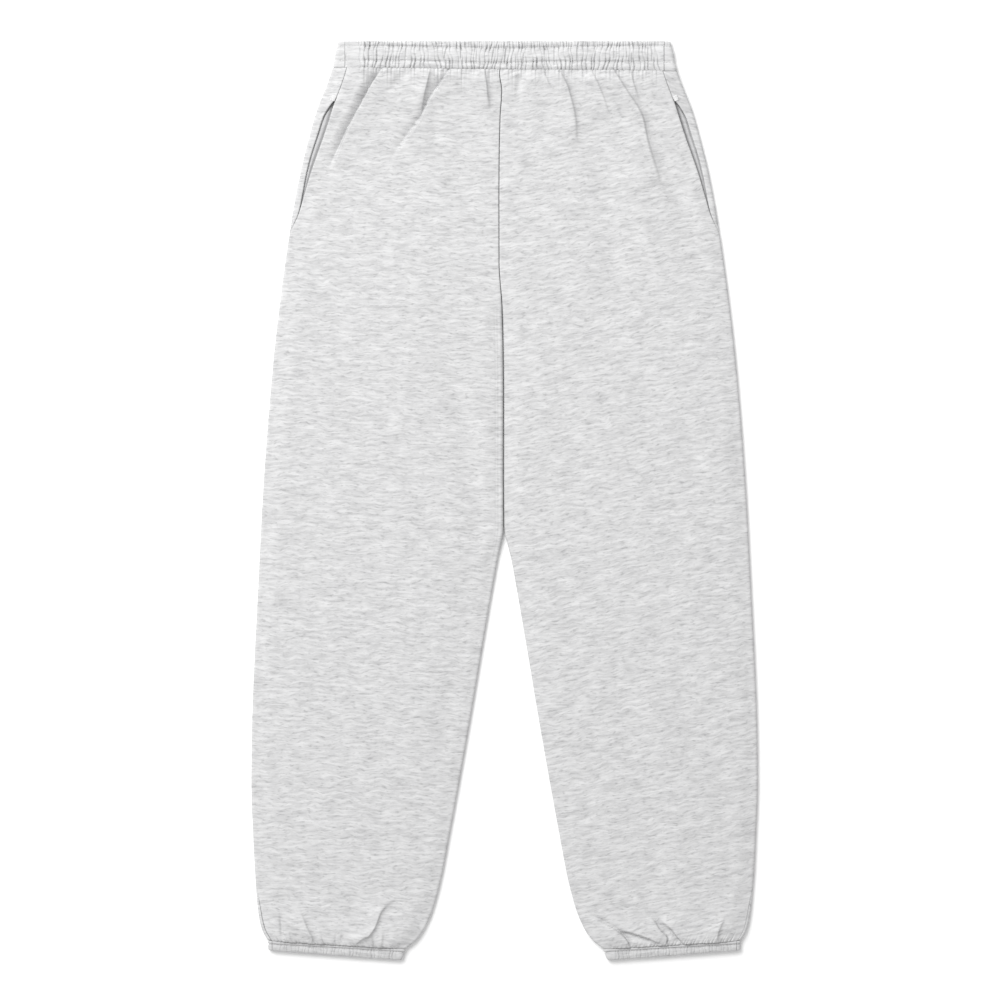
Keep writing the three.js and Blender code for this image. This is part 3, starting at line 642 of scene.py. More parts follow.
fleece = heather("heather_fleece", (0.685, 0.685, 0.687), (0.38, 0.38, 0.384), 0.5, 0.5)
gathered = heather("gathered_heather", (0.69, 0.69, 0.692), (0.4, 0.4, 0.404), 0.42, 0.42)
cuff_cloth = heather("cuff_heather", (0.62, 0.62, 0.622), (0.38, 0.38, 0.384), 0.42, 0.42)
pocket_cloth = heather("pocket_heather", (0.58, 0.58, 0.585), (0.38, 0.38, 0.385), 0.3, 0.3)
print("materials:", [m.name for m in bpy.data.materials])

# %% [markdown]
# A leg is a flattened tube. Its cloth is followed by one number, the distance along it from the
# outermost line of the leg. The front panel runs from the outseam, which lies a little way up
# on the front, across to the front seam or the inseam. The back panel starts at the outseam
# too, turns down round the outer edge and runs underneath. Both use the same formula, with the
# height turned over for the back.

# %% Legs
END_CROWDING = 0.75  # rows crowd towards the waistband and the cuffs
NEAR_POWER = 1.4  # and columns towards both ends, as this power
ARC = {"near_count": 9, "near_reach": 6.0}
LIP = {"high": 0.9, "wide": 5.0, "gape": 3.0}  # the pocket's edge stands up by this where it gapes
LAP_OVER = {"high": 1.7, "low": -0.7, "wide": 16.0, "under_wide": 8.0}
LAP_RUN = {"from": 300.0, "starts": 30.0, "to": 560.0, "ends": 50.0}
SEAM_LINES = {"first": 4.4, "second": 7.4, "faint": 0.6, "deep": 0.45, "wide": 0.8}
SEAM_RUN = {"from": 300.0, "starts": 20.0, "to": 580.0, "ends": 120.0}
PUCKERS = {
    "waist": {"reach": 5.0, "sway": 3.5, "seed": 5, "deep": 1.9, "puff": 0.9},
    "hem": {"reach": 4.0, "sway": 2.5, "seed": 6, "deep": 1.4, "puff": 0.7},
}
PUCKER_NARROW = 0.9
GATHER_SEED = 2
PRESSED_SEAM = {"from": 880.0, "over": 60.0, "least": 0.8}
GRAIN = {-1: -1.0, 1: 9.5}  # degrees that the streaks rise to the right
FRONT_ROWS, FRONT_COLUMNS = 261, 321
SIDES = {"right": -1, "left": 1}


def closed(drop):
    """How far each leg has closed into a tube of its own: 0 above the crotch and 1 below."""
    return smooth((drop - CROTCH_DROP) / CLOSING + CLOSING_AHEAD)


def row_shares(rows, crowding):
    """Shares of a length, row by row, crowded towards both ends by a sine."""
    share = np.linspace(0, 1, rows)
    return (share - crowding * np.sin(2 * math.pi * share) / (2 * math.pi))[:, None]


def leg_edges(side, share):
    """Where the middle of the cloth turns over at a leg's two edges, for each row."""
    outer_drop = lerp(WAIST_DEPTH[side] + SEAM_GAP, CUFF_TOP["outer_drop"] - SEAM_GAP, share)
    inner_drop = lerp(WAIST_DEPTH[0] + SEAM_GAP, CUFF_TOP["inner_drop"] - SEAM_GAP, share)
    shut = closed(inner_drop)
    opened = along(INNER_EDGE, "open", inner_drop) + SEAM_GAP + shut * CLOTH / 2
    outer = side * (along(OUTER_EDGE, "half", outer_drop) - CLOTH / 2)
    inner = along(PARTING_LINE, "x", inner_drop) + side * opened
    path = np.abs(outer - inner) + (QUARTER - EDGE_RADIUS) * (1 + shut)
    return {"side": side, "outer_drop": outer_drop, "inner_drop": inner_drop, "shut": shut,
            "outer": outer, "inner": inner, "path": path}


def leg_place(edge, p, face):
    """Places of the cloth p along it from the outermost line, without its folds: x, drop, and how far
    above the middle of the turn. face is 1 for the front and -1 for the back."""
    side, shut = edge["side"], edge["shut"]
    in_outer, up_outer = turn(p, EDGE_RADIUS)
    rest = edge["path"] - p
    in_inner, up_inner = turn(rest, EDGE_RADIUS)
    by_outer = p < edge["path"] / 2
    x_outer = edge["outer"] - side * in_outer
    x_inner = edge["inner"] + side * lerp(rest, in_inner, shut)
    x = np.where(by_outer, x_outer, x_inner)
    up = face * np.where(by_outer, up_outer, lerp(EDGE_RADIUS, up_inner, shut))
    t = (x - edge["outer"]) / (edge["inner"] - edge["outer"])
    return x, lerp(edge["outer_drop"], edge["inner_drop"], t), up


def lift_plain(edge, x, drop):
    """Height of the front above a plain flat leg, without folds: its loft, and its climb to the
    waistband and the cuff."""
    to_outer = np.abs(x - edge["outer"])
    to_inner = np.abs(x - edge["inner"])
    inner = lerp(1, smooth(to_inner / EDGE_FADE), edge["shut"])
    hem = lerp(CUFF_TOP["outer_drop"], CUFF_TOP["inner_drop"], to_outer / (to_outer + to_inner))
    from_waist = drop - waist_depth(x)
    from_hem = hem - drop
    reach = SEAM_RISE["reach"]
    rise = SEAM_RISE["waist"] * bump(from_waist, reach) + SEAM_RISE["hem"] * bump(from_hem, reach)
    free = smooth(to_outer / EDGE_FADE) * inner
    for start, shape in ((from_waist, WAIST_RISE), (from_hem, HEM_RISE)):
        begins = 1 - np.exp(-np.maximum(start, 0) / RISE_START)
        rise = rise + free * shape["high"] * begins * bump(start, shape["reach"])
    held = bump(from_waist, HELD["reach"]) + bump(from_hem, HELD["reach"])
    return rise + free * LOFT, free * (1 - HELD["share"] * held), from_waist, from_hem


def run_window(drop, run):
    """1 along a run of drops, with a soft start and a soft end."""
    starts = smooth((drop - run["from"]) / run["starts"] + 0.5)
    return starts * smooth((run["to"] - drop) / run["ends"] + 0.5)


def leg_lap(edge, drop, to_inner):
    """Below the crotch the right leg's inner edge lies over the left one, which is pressed down."""
    if edge["side"] < 0:
        return run_window(drop, LAP_RUN) * LAP_OVER["high"] * bump(to_inner, LAP_OVER["wide"])
    return run_window(drop, LAP_RUN) * LAP_OVER["low"] * bump(to_inner, LAP_OVER["under_wide"])


def inseam_lines(edge, drop, to_inner):
    """Two fine grooves beside the right leg's inner edge, where the inseam has rolled to the
    front."""
    if edge["side"] > 0:
        return 0
    lines = bump(to_inner - SEAM_LINES["first"], SEAM_LINES["wide"])
    second = bump(to_inner - SEAM_LINES["second"], SEAM_LINES["wide"])
    return -SEAM_LINES["deep"] * run_window(drop, SEAM_RUN) * (lines + SEAM_LINES["faint"] * second)


def puckers(kind, s, places, from_seam, puffed):
    """Gathers of a casing that run on into the panel and die out, a few of them later than the
    rest. puffed is 1 where cloth stands up between them and 0 where it lies on the table."""
    row = PUCKERS[kind]
    number = np.interp(s, places, np.arange(len(places)))
    reach = row["reach"] + row["sway"] * uneven(np.rint(number), row["seed"])
    fade = np.exp(-np.maximum(from_seam, 0) / reach)
    puff = row["puff"] * puffed
    return fade * gather_height(s, places, row["deep"], puff, PUCKER_NARROW, GATHER_SEED)


def grain_map(p, drop, side, turned):
    """The cloth's own coordinates: along the leg's width and length, turned by the grain's angle."""
    angle = math.radians(turned)
    u, v = -side * p, -drop
    return np.stack([u * math.cos(angle) + v * math.sin(angle),
                     v * math.cos(angle) - u * math.sin(angle)], axis=2)


def end_columns(first, last, columns, near_count, near_reach):
    """Distances from first to last along the cloth, close together near both ends and even between."""
    near = np.linspace(0, 1, near_count) ** NEAR_POWER * near_reach
    middle = np.linspace(0, 1, columns - 2 * near_count + 2)[1:-1]
    left, right = first + near, last - near[::-1]
    return np.concatenate([left, lerp(left[:, -1:], right[:, :1], middle), right], axis=1)


def outseam_least(edge):
    """What the outseam's roll leaves: more near the left hem, where the photograph shows no line."""
    t = smooth((edge["outer_drop"] - PRESSED_SEAM["from"]) / PRESSED_SEAM["over"])
    return lerp(LEAST, PRESSED_SEAM["least"], t * (edge["side"] > 0))


def front_panel(side, name):
    """The front of one leg."""
    edge = leg_edges(side, row_shares(FRONT_ROWS, END_CROWDING))
    seam = along(OUTSEAM, "seam", edge["outer_drop"]) + SEAM_GAP
    gape = along(OUTSEAM, "gape", edge["outer_drop"])
    last = edge["path"] - SEAM_GAP
    p = end_columns(seam, last, FRONT_COLUMNS, **ARC)
    x, drop, up = leg_place(edge, p, 1)
    plain, free, from_waist, from_hem = lift_plain(edge, x, drop)
    to_inner = np.abs(x - edge["inner"])
    upper = np.maximum(up, 0) / EDGE_RADIUS
    level = CLOTH / 2 + EDGE_RADIUS + up
    base = np.stack([x, TOP - drop, level + plain * upper], axis=2)
    normal = surface_normals(base)
    normal *= np.sign(normal[FRONT_ROWS // 2, FRONT_COLUMNS // 2, 2])
    height = free * fold_height(x, drop, FRONT_FOLDS, FRONT_TROUGHS)
    height = height + leg_lap(edge, drop, to_inner) + inseam_lines(edge, drop, to_inner)
    height = height + puckers("waist", x, WAIST_GROOVES, from_waist, 1)
    height = height + puckers("hem", np.abs(x - edge["outer"]), CUFF_GROOVES, from_hem, 1)
    height = height + LIP["high"] * smooth(gape / LIP["gape"]) * bump(p - seam, LIP["wide"])
    base[..., 2] += height * upper
    at_waist = rolled(from_waist - SEAM_GAP, TIGHT_ROLL, WAIST_LEAST)
    at_hem = rolled(from_hem - SEAM_GAP, HEM_ROLL, HEM_LEAST)
    at_sides = np.minimum(rolled(p - seam, ROLL, outseam_least(edge)), rolled(last - p))
    thick = np.minimum(np.minimum(at_waist, at_hem), at_sides)
    outside = base + normal * (CLOTH / 2 * thick)[..., None]
    within = base - normal * (CLOTH / 2)
    turned_in = np.maximum(bump(from_waist - SEAM_GAP, ALLOWANCE["reach"]),
                           bump(from_hem - SEAM_GAP, ALLOWANCE["reach"]))
    within[..., 2] -= (ALLOWANCE["deep"] + np.maximum(height, 0)) * upper * turned_in
    return cloth_mesh(name, outside, within, grain_map(p, drop, side, GRAIN[side]), fleece)


def add_piece(piece, node):
    """Rides on the body and stands for its node."""
    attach(piece, "root")
    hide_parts(node)
    print(piece.name, "has", len(piece.data.polygons), "faces")


for leg, side in SIDES.items():
    piece = front_panel(side, f"front_{leg}")
    add_piece(piece, f"front_panel_{leg}")

# %% [markdown]
# The back panels lie on the table, so nothing on them can stand below it. Their creases are
# only pressed in, as they are under a real garment: the valleys of laps that start at the
# waistband and the cuffs, and a few long soft troughs. Beside each pocket the back panel comes
# round on to the front, and the stitching that closes the pocket above its mouth pulls two or
# three short creases into it.

# %% Back panels
BACK_ROWS, BACK_COLUMNS = 161, 161
BACK_FOLDS = [
    fold((-150, 32), (-172, 118), 9, 0, 1.2, 1, bow=4),
    fold((-96, 33), (-121, 101), 9, 0, 1.1, -1, bow=-4),
    fold((-47, 34), (-63, 83), 8, 0, 1.0, 1, bow=3),
    fold((-20, 34), (-24, 66), 6, 0, 0.9, -1),
    fold((27, 34), (38, 92), 8, 0, 1.1, -1, bow=-3),
    fold((81, 34), (96, 71), 7, 0, 0.9, 1),
    fold((118, 33), (152, 131), 10, 0, 1.3, -1, bow=6),
    fold((158, 33), (166, 70), 7, 0, 0.9, 1),
    fold((-233, 1009), (-240, 962), 8, 0, 1.2, -1, bow=3),
    fold((-196, 1011), (-188, 985), 7, 0, 0.9, 1),
    fold((-158, 1013), (-128, 949), 9, 0, 1.3, 1, bow=-7),
    fold((-133, 1015), (-130, 995), 6, 0, 0.8, -1),
    fold((139, 1015), (118, 968), 9, 0, 1.2, -1, bow=5),
    fold((173, 1013), (178, 986), 7, 0, 0.9, 1),
    fold((211, 1011), (221, 958), 8, 0, 1.2, -1, bow=-4),
    fold((243, 1008), (246, 987), 6, 0, 0.8, 1),
]
BACK_TROUGHS = [
    fold((-196, 140), (-150, 420), 16, 0, 1.0, 0, bow=12),
    fold((-60, 330), (-120, 640), 15, 0, 1.1, 0, bow=-10),
    fold((-150, 640), (-180, 900), 14, 0, 0.9, 0, bow=8),
    fold((70, 300), (130, 600), 16, 0, 1.1, 0, bow=12),
    fold((196, 200), (210, 520), 15, 0, 0.9, 0, bow=-8),
    fold((160, 620), (205, 920), 14, 0, 1.0, 0, bow=10),
]
WRAP = {"near_count": 29, "near_reach": 24.0}
WRAP_START = 3.0
TACK_CREASES = {"drops": [46.0, 53.8, 58.4], "deep": [0.6, 0.55, 1.0], "wide": 1.1}
TACK_PUFF = {"drop": 66.0, "high": 0.9, "reach": 6.5}


def wrap_height(p, drop):
    """Creases and a puff beside the pocket, on the part that has come round to the front."""
    there = smooth((-p - WRAP_START) / WRAP_START)
    height = TACK_PUFF["high"] * bump(drop - TACK_PUFF["drop"], TACK_PUFF["reach"])
    for crease, deep in zip(TACK_CREASES["drops"], TACK_CREASES["deep"]):
        height = height - deep * bump(drop - crease, TACK_CREASES["wide"])
    return there * height


def back_panel(side, name):
    """The back of one leg, from its outseam on the front round under the leg to the inner seam."""
    edge = leg_edges(side, row_shares(BACK_ROWS, END_CROWDING))
    seam = along(OUTSEAM, "seam", edge["outer_drop"])
    lip = seam - along(OUTSEAM, "gape", edge["outer_drop"]) - SEAM_GAP
    p = end_columns(-lip, edge["path"] - SEAM_GAP, BACK_COLUMNS, **WRAP)
    x, drop, up = leg_place(edge, p, -1)
    plain, free, from_waist, from_hem = lift_plain(edge, x, drop)
    upper = np.maximum(up, 0) / EDGE_RADIUS
    lower = np.maximum(-up, 0) / EDGE_RADIUS
    base = np.stack([x, TOP - drop, CLOTH / 2 + EDGE_RADIUS + up + plain * upper], axis=2)
    normal = surface_normals(base)
    normal *= -np.sign(normal[BACK_ROWS // 2, BACK_COLUMNS // 2, 2])
    grooves = puckers("waist", x, WAIST_GROOVES, from_waist, 0)
    grooves = grooves + puckers("hem", np.abs(x - edge["outer"]), CUFF_GROOVES, from_hem, 0)
    inwards = -free * fold_height(x, drop, BACK_FOLDS, BACK_TROUGHS) - np.minimum(grooves, 0)
    base[..., 2] += lower * inwards + upper * wrap_height(p, drop)
    sewn = np.minimum(edge["path"] - p, np.minimum(from_waist, from_hem)) - SEAM_GAP
    thick = np.minimum(rolled(p + lip, ROLL, outseam_least(edge)), rolled(sewn))
    outside = base + normal * (CLOTH / 2 * thick)[..., None]
    within = base - normal * (CLOTH / 2)
    return cloth_mesh(name, outside, within, grain_map(p, drop, side, GRAIN[side]), fleece)


for leg, side in SIDES.items():
    piece = back_panel(side, f"back_{leg}")
    add_piece(piece, f"back_panel_{leg}")

# %% [markdown]
# The waistband and the cuffs are casings: cloth folded over a band of elastic and sewn down. A
# waistband has two rows of stitching, which part it into a short header on top, a channel and a
# lower row. Each row of stitches pulls the face in, and the gathers are sharpest there. Both
# casings come from one function: a strip whose ends turn under, with a swell that each casing
# works out for itself.

# %% Casings
CASING = 4.2
CASING_RADIUS = 2.6
BAND_SEAM = 179.3
CUFF_WALL = 3.4
CUFF_RADIUS = 2.4
CUFF_DEPTH = {"outer": 10.8, "inner": 13.2}
CUFF_TAPER = {"outer": 0.9, "inner": 4.3}
CUFF_SEAM = 4.5

BAND_LINES = {
    "x": [-187, -100, 0, 60, 110, 187],
    "first": [5.4, 6.2, 8.0, 6.9, 5.8, 5.4],
    "second": [21.4, 22.3, 24.5, 22.9, 23.2, 23.4],
}
ROW_ARCHES = {"header": 0.9, "channel": 2.2, "lower": 1.9}
CHANNEL_POWER = 0.8
ROW_EDGE = 1.2  # one row of puffs gives way to the next over this
SEWN_LINE = {"deep": 1.0, "wide": 0.8}
TIGHT = {"first": 4.0, "second": 4.5, "lower": 0.7, "header": 0.2}  # reach of a line, share of a row
SLANT = {"wide": 2.8, "pitch": 19.0, "level": 15.0}  # how grooves lean to and fro along the band
RIPPLE = {"wide": 0.7, "down": 3.1, "across": 7.0}
BAND_DEPTH = {"least": 0.2, "tight": 0.7, "sway": 0.4, "across": 13.0, "down": 17.0}
BAND_GATHER = {"deep": 2.5, "puff": 0.9, "narrow": 0.7}
HEADER_GATHER = {"deep": 1.6, "puff": 0.5, "narrow": 0.55}
HEADER_DEPTH = {"even": 0.7, "sway": 0.3, "across": 9.0}
PLAIN_END = {"over": 6.0, "rows": 0.45, "lines": 0.6}  # what stays beside the band's ends
STRONG = {"deep": 1.6, "narrow": 0.7, "ends": 2.5}
FLATTER = {"band": 1.1, "cuff": 0.6}  # taken off the face that lies on the table
CASING_CROWDING = 0.35
BAND_SEEDS = {1: 2, -1: 7}
# Gathers that show more than the rest: where, from which drop to which, how far they slant, and
# how deep they are
STRONG_GATHERS = [
    (-177.6, 15, 29, 1.0, 0.7),
    (-161, 8, 20, 0, 0.6),
    (-151.5, 1, 28, 2.0, 0.9),
    (-143, 10, 28, 1.2, 1.2),
    (-133, 7, 19, 0.5, 0.7),
    (-124, 8, 26, 1.0, 0.8),
    (-110, 1, 19, 0, 0.8),
    (-66, 7, 20, 2.5, 0.9),
    (-48.5, 8, 20, 0, 1.0),
    (-31, 7, 25, 0.6, 0.8),
    (-13, 8, 26, 3.2, 1.0),
    (1.0, 7, 25, 1.8, 1.6),
    (13.1, 17, 32, 0, 0.8),
    (21.0, 15, 33, 1.0, 1.2),
    (45, 1, 29, 0, 0.9),
    (56, 7, 28, 0, 0.7),
    (81.6, 8, 22, 0, 1.1),
    (102, 1, 22, 0, 0.8),
    (123, 7, 20, 0, 0.7),
    (137, 7, 20, -1.0, 0.8),
    (142.3, 14, 31, 0, 1.2),
    (151.5, 7, 22, 0, 0.8),
    (161, 7, 22, 0, 0.8),
    (165.5, 7, 22, 0, 0.8),
]
HEADER_GROOVES = groove_places(104, -163.0, 183.0)


def strip_path(start, finish, radius):
    """Length of the cloth between its two outermost lines."""
    return finish - start + 2 * (radius * math.pi / 2 - radius)


def casing_points(p, share, start, finish, radius, thickness, face, place):
    """Middle of a casing's wall: it turns under at start and at finish, and place says where it lies."""
    path = strip_path(start, finish, radius)
    in_start, up_start = turn(p, radius)
    in_finish, up_finish = turn(path - p, radius)
    by_start = p < path / 2
    s = np.where(by_start, start + in_start, finish - in_finish)
    up = face * np.where(by_start, up_start, up_finish)
    x, y = place(s, share)
    return s, np.stack([x, y, thickness / 2 + radius + up], axis=2)


def casing_piece(name, p, share, base, swell, thick, thickness, face, reach, material):
    """A casing from the middle of its wall: the face swells, and rolls down at its sewn edges."""
    normal = surface_normals(base)
    normal *= face * np.sign(normal[base.shape[0] // 2, base.shape[1] // 2, 2])
    outside = base + normal * (thickness / 2 * thick + swell)[..., None]
    within = base - normal * (thickness / 2)
    grain = np.stack(np.broadcast_arrays(p, share * reach), axis=2)
    return cloth_mesh(name, outside, within, grain, material)


def band_place(s, share):
    """Where the waistband lies: along x, and down from the waist edge to its seam."""
    return np.broadcast_arrays(s, TOP - (1 - share) * (waist_depth(s) - SEAM_GAP))


def band_ends(share):
    """Where the waistband turns under at each side."""
    ends = [along(OUTER_EDGE, "half", WAIST_DEPTH[k] * (1 - share)) - CASING / 2 for k in (-1, 1)]
    return -ends[0], ends[1]


def arch(share):
    """Half a sine wave over a share from 0 to 1."""
    return np.sin(math.pi * np.clip(share, 0, 1))


def band_swell(x, drop, seed):
    """How far the waistband's face stands out: a rounded row of puffs above, between and below the
    two sewn lines, and gathers that are deepest at the lines."""
    first = along(BAND_LINES, "first", x, "x")
    second = along(BAND_LINES, "second", x, "x")
    from_start = smooth((x - WAIST_GROOVES[0]) / PLAIN_END["over"])
    gathered = from_start * smooth((WAIST_GROOVES[-1] - x) / PLAIN_END["over"])
    rows = ROW_ARCHES["header"] * arch(drop / first)
    channel = arch((drop - first) / (second - first)) ** CHANNEL_POWER
    rows = rows + ROW_ARCHES["channel"] * channel
    rows = rows + ROW_ARCHES["lower"] * arch((drop - second) / (waist_depth(x) - second))
    lines = bump(drop - first, SEWN_LINE["wide"]) + bump(drop - second, SEWN_LINE["wide"])
    header = smooth((first - drop) / ROW_EDGE + 0.5)
    lower = smooth((drop - second) / ROW_EDGE + 0.5)
    tight = bump(drop - first, TIGHT["first"]) + bump(drop - second, TIGHT["second"])
    tight = tight + lower * TIGHT["lower"] + header * TIGHT["header"]
    lean = np.sin(x / SLANT["pitch"] + seed) * (drop - SLANT["level"]) / SLANT["level"]
    ripple = np.sin(drop / RIPPLE["down"] + x / RIPPLE["across"])
    slanted = x + SLANT["wide"] * lean + RIPPLE["wide"] * ripple
    varied = uneven(x / BAND_DEPTH["across"] + drop / BAND_DEPTH["down"], seed + 2)
    deep = BAND_DEPTH["least"] + BAND_DEPTH["tight"] * np.minimum(tight, 1)
    deep = deep * (1 + BAND_DEPTH["sway"] * varied)
    swell = rows * lerp(PLAIN_END["rows"], 1, gathered)
    swell = swell - SEWN_LINE["deep"] * lines * lerp(PLAIN_END["lines"], 1, gathered)
    swell = swell + gather_height(slanted, WAIST_GROOVES, **BAND_GATHER, seed=seed) * deep
    fine = gather_height(x, HEADER_GROOVES, **HEADER_GATHER, seed=seed + 4)
    fine_depth = HEADER_DEPTH["even"] + HEADER_DEPTH["sway"] * uneven(x / HEADER_DEPTH["across"], seed)
    return swell + fine * header * fine_depth


def pressed_flat(swell, face, less):
    """The half that lies on the table keeps only its grooves."""
    return swell if face > 0 else np.minimum(swell - less, 0)


def strong_swell(x, drop):
    """The deepest gathers of the front: narrow bells across, with soft ends."""
    height = np.zeros(x.shape)
    for at, top, bottom, slant, deep in STRONG_GATHERS:
        course = at + slant * (0.5 - (drop - top) / (bottom - top))
        starts = smooth((drop - top) / STRONG["ends"] + 0.5)
        ends = starts * smooth((bottom - drop) / STRONG["ends"] + 0.5)
        height -= STRONG["deep"] * deep * ends * bump(x - course, STRONG["narrow"])
    return height


def waistband(name, face, size, near):
    """One half of the waistband, with so many rows and columns, and so many columns near each end."""
    rows, columns = size
    share = row_shares(rows, CASING_CROWDING)
    start, finish = band_ends(share)
    path = strip_path(start, finish, CASING_RADIUS)
    lap_start = -start + CASING / 2 - BAND_SEAM + face * SEAM_GAP
    lap_finish = finish + CASING / 2 - BAND_SEAM + face * SEAM_GAP
    first, last = face * lap_start, path - face * lap_finish
    p = end_columns(first, last, columns, *near)
    s, base = casing_points(p, share, start, finish, CASING_RADIUS, CASING, face, band_place)
    drop = TOP - base[..., 1]
    swell = pressed_flat(band_swell(s, drop, BAND_SEEDS[face]), face, FLATTER["band"])
    if face > 0:
        swell = swell + strong_swell(s, drop)
    pressed = np.minimum(np.minimum(p - first, last - p), waist_depth(s) - drop)
    thick = np.minimum(rolled(drop, TIGHT_ROLL), rolled(pressed, TIGHT_ROLL, WAIST_LEAST))
    return casing_piece(name, p, share, base, swell, thick, CASING, face, WAIST_DEPTH[0], gathered)


BAND_FRONT = waistband("waistband", 1, (45, 961), (5, 2.0))
add_piece(BAND_FRONT, "waistband_front")
BAND_BACK = waistband("waistband_under", -1, (33, 761), (33, 22.0))
add_piece(BAND_BACK, "waistband_back")

# %% [markdown]
# A cuff is a narrower casing with one row of stitches near its seam. It lies a little askew, as
# in the photograph: its inner end is lower than its outer end, and both ends draw in towards
# the hem edge.

# %% Cuffs
CUFF_LINE = 3.8  # from the seam down to the row of stitches
CUFF_GROOVE = {"deep": 1.2, "wide": 0.7}
CUFF_RIPPLE = {"wide": 0.5, "down": 1.7, "across": 5.0}
CUFF_GATHER = {"deep": 0.7, "puff": 0.3, "narrow": 0.6}
CUFF_DEPTHS = {"sway": 0.5, "across": 9.0}
RIBS = {"ahead": 1.5, "over": 2.0, "least": 0.35}  # gathers grow to full depth below the stitches
CUFF_NEAR = (9, 7.0)


def cuff_course(side):
    """Outer end of a cuff's seam, the direction along it, the direction down, and its length."""
    outer = np.array([side * CUFF_TOP["outer"], TOP - CUFF_TOP["outer_drop"]])
    inner = np.array([side * CUFF_TOP["inner"], TOP - CUFF_TOP["inner_drop"]])
    length = np.linalg.norm(inner - outer)
    course = (inner - outer) / length
    down = np.array([-side * course[1], side * course[0]])
    return outer, course, down, length


def cuff_depth(s, length):
    """Height of a cuff at a distance along it."""
    return lerp(CUFF_DEPTH["outer"], CUFF_DEPTH["inner"], s / length)


def cuff_swell(s, below, depth, seed):
    """Face of a cuff: a plain strip beside the seam, a sewn line, and gathered ribs down to the
    edge."""
    ribs = smooth((below - CUFF_LINE + RIBS["ahead"]) / RIBS["over"])
    swell = arch(below / CUFF_LINE) + arch((below - CUFF_LINE) / (depth - CUFF_LINE))
    swell = swell - CUFF_GROOVE["deep"] * bump(below - CUFF_LINE, CUFF_GROOVE["wide"])
    ripple = np.sin(below / CUFF_RIPPLE["down"] + s / CUFF_RIPPLE["across"])
    wavering = s + CUFF_RIPPLE["wide"] * ripple
    gathers = gather_height(wavering, CUFF_GROOVES, **CUFF_GATHER, seed=seed)
    gathers = gathers * (1 + CUFF_DEPTHS["sway"] * uneven(s / CUFF_DEPTHS["across"], seed))
    return swell + gathers * lerp(RIBS["least"], 1, ribs)


def cuff(side, name, face, size, seed):
    """One half of a cuff, with so many rows and columns."""
    rows, columns = size
    outer, course, down, length = cuff_course(side)
    share = row_shares(rows, CASING_CROWDING)
    start = CUFF_WALL / 2 + CUFF_TAPER["outer"] * (1 - share)
    finish = length - CUFF_WALL / 2 - CUFF_TAPER["inner"] * (1 - share)
    path = strip_path(start, finish, CUFF_RADIUS)

    def place(s, share):
        below = SEAM_GAP + (1 - share) * (cuff_depth(s, length) - SEAM_GAP)
        return outer[0] + course[0] * s + down[0] * below, outer[1] + course[1] * s + down[1] * below

    first = np.full(path.shape, face * CUFF_SEAM + SEAM_GAP)
    last = path - SEAM_GAP
    p = end_columns(first, last, columns, *CUFF_NEAR)
    s, base = casing_points(p, share, start, finish, CUFF_RADIUS, CUFF_WALL, face, place)
    depth = cuff_depth(s, length)
    below = SEAM_GAP + (1 - share) * (depth - SEAM_GAP)
    swell = pressed_flat(cuff_swell(s, below, depth, seed), face, FLATTER["cuff"])
    at_ends = np.minimum(rolled(last - p), rolled(p - first, TIGHT_ROLL, WAIST_LEAST))
    at_edges = np.minimum(rolled(below, HEM_ROLL, HEM_LEAST), rolled(depth - below, HEM_ROLL))
    thick = np.minimum(at_ends, at_edges)
    reach = CUFF_DEPTH["inner"]
    return casing_piece(name, p, share, base, swell, thick, CUFF_WALL, face, reach, cuff_cloth)


for leg, side in SIDES.items():
    front = cuff(side, f"cuff_{leg}", 1, (25, 401), 3 + side)
    add_piece(front, f"cuff_front_{leg}")
    back = cuff(side, f"cuff_under_{leg}", -1, (17, 241), 9 + side)
    add_piece(back, f"cuff_back_{leg}")

# %% [markdown]
# Each pocket gapes a little, and a strip of the pocket's own cloth shows in its mouth. It lies
# between the layers of the leg, swells a little beside the outer lip, and dips under the edge
# of the front panel.

# %% Pocket cloth
FACING_WALL = 1.4
FACING = {"from": 62.0, "to": 203.0, "rows": 81, "columns": 33, "tuck": 5.6, "under": 14.0}
FACING_SWELL = {"high": 1.5, "rises": 2.0, "falls": 4.0}  # beside the outer lip
FACING_DIP = {"deep": 0.5, "past": 1.0, "wide": 3.0}  # under the edge of the front


def pocket_facing(side, name):
    """The strip of pocket cloth behind one pocket mouth."""
    drop = np.linspace(FACING["from"], FACING["to"], FACING["rows"])[:, None]
    seam = along(OUTSEAM, "seam", drop)
    inwards = lerp(FACING["tuck"], seam + FACING["under"], np.linspace(0, 1, FACING["columns"]))
    x = side * (along(OUTER_EDGE, "half", drop) - inwards)
    from_lip = inwards - seam + along(OUTSEAM, "gape", drop)
    to_seam = seam - inwards
    swell = smooth(from_lip / FACING_SWELL["rises"]) * smooth(to_seam / FACING_SWELL["falls"])
    level = CLOTH / 2 + EDGE_RADIUS + FACING_SWELL["high"] * swell
    level = level - FACING_DIP["deep"] * bump(to_seam + FACING_DIP["past"], FACING_DIP["wide"])
    base = np.stack(np.broadcast_arrays(x, TOP - drop, level), axis=2)
    upwards = np.array([0, 0, FACING_WALL / 2])
    grain = np.stack(np.broadcast_arrays(x, drop), axis=2)
    return cloth_mesh(name, base + upwards, base - upwards, grain, pocket_cloth)


for leg, side in SIDES.items():
    piece = pocket_facing(side, f"pocket_{leg}")
    add_piece(piece, f"pocket_facing_{leg}")

# %% [markdown]
# Stitches are short lengths of thread that dip into the cloth at both ends. One stitch is a
# slender spindle of six sides, and a row of them is the same spindle at many places, worked out
# in one go. Their thread has the colour of the cloth, so they show only by the small shadows at
# their ends.

# %% Stitches
STITCH = {"long": 2.5, "thick": 0.5}
PITCH = 3.1
STITCH_PROUD = 0.1
BAND_RUN = (-184.3, 187.3)
CUFF_INSET = 6.0
UP = (0, 0, 1)
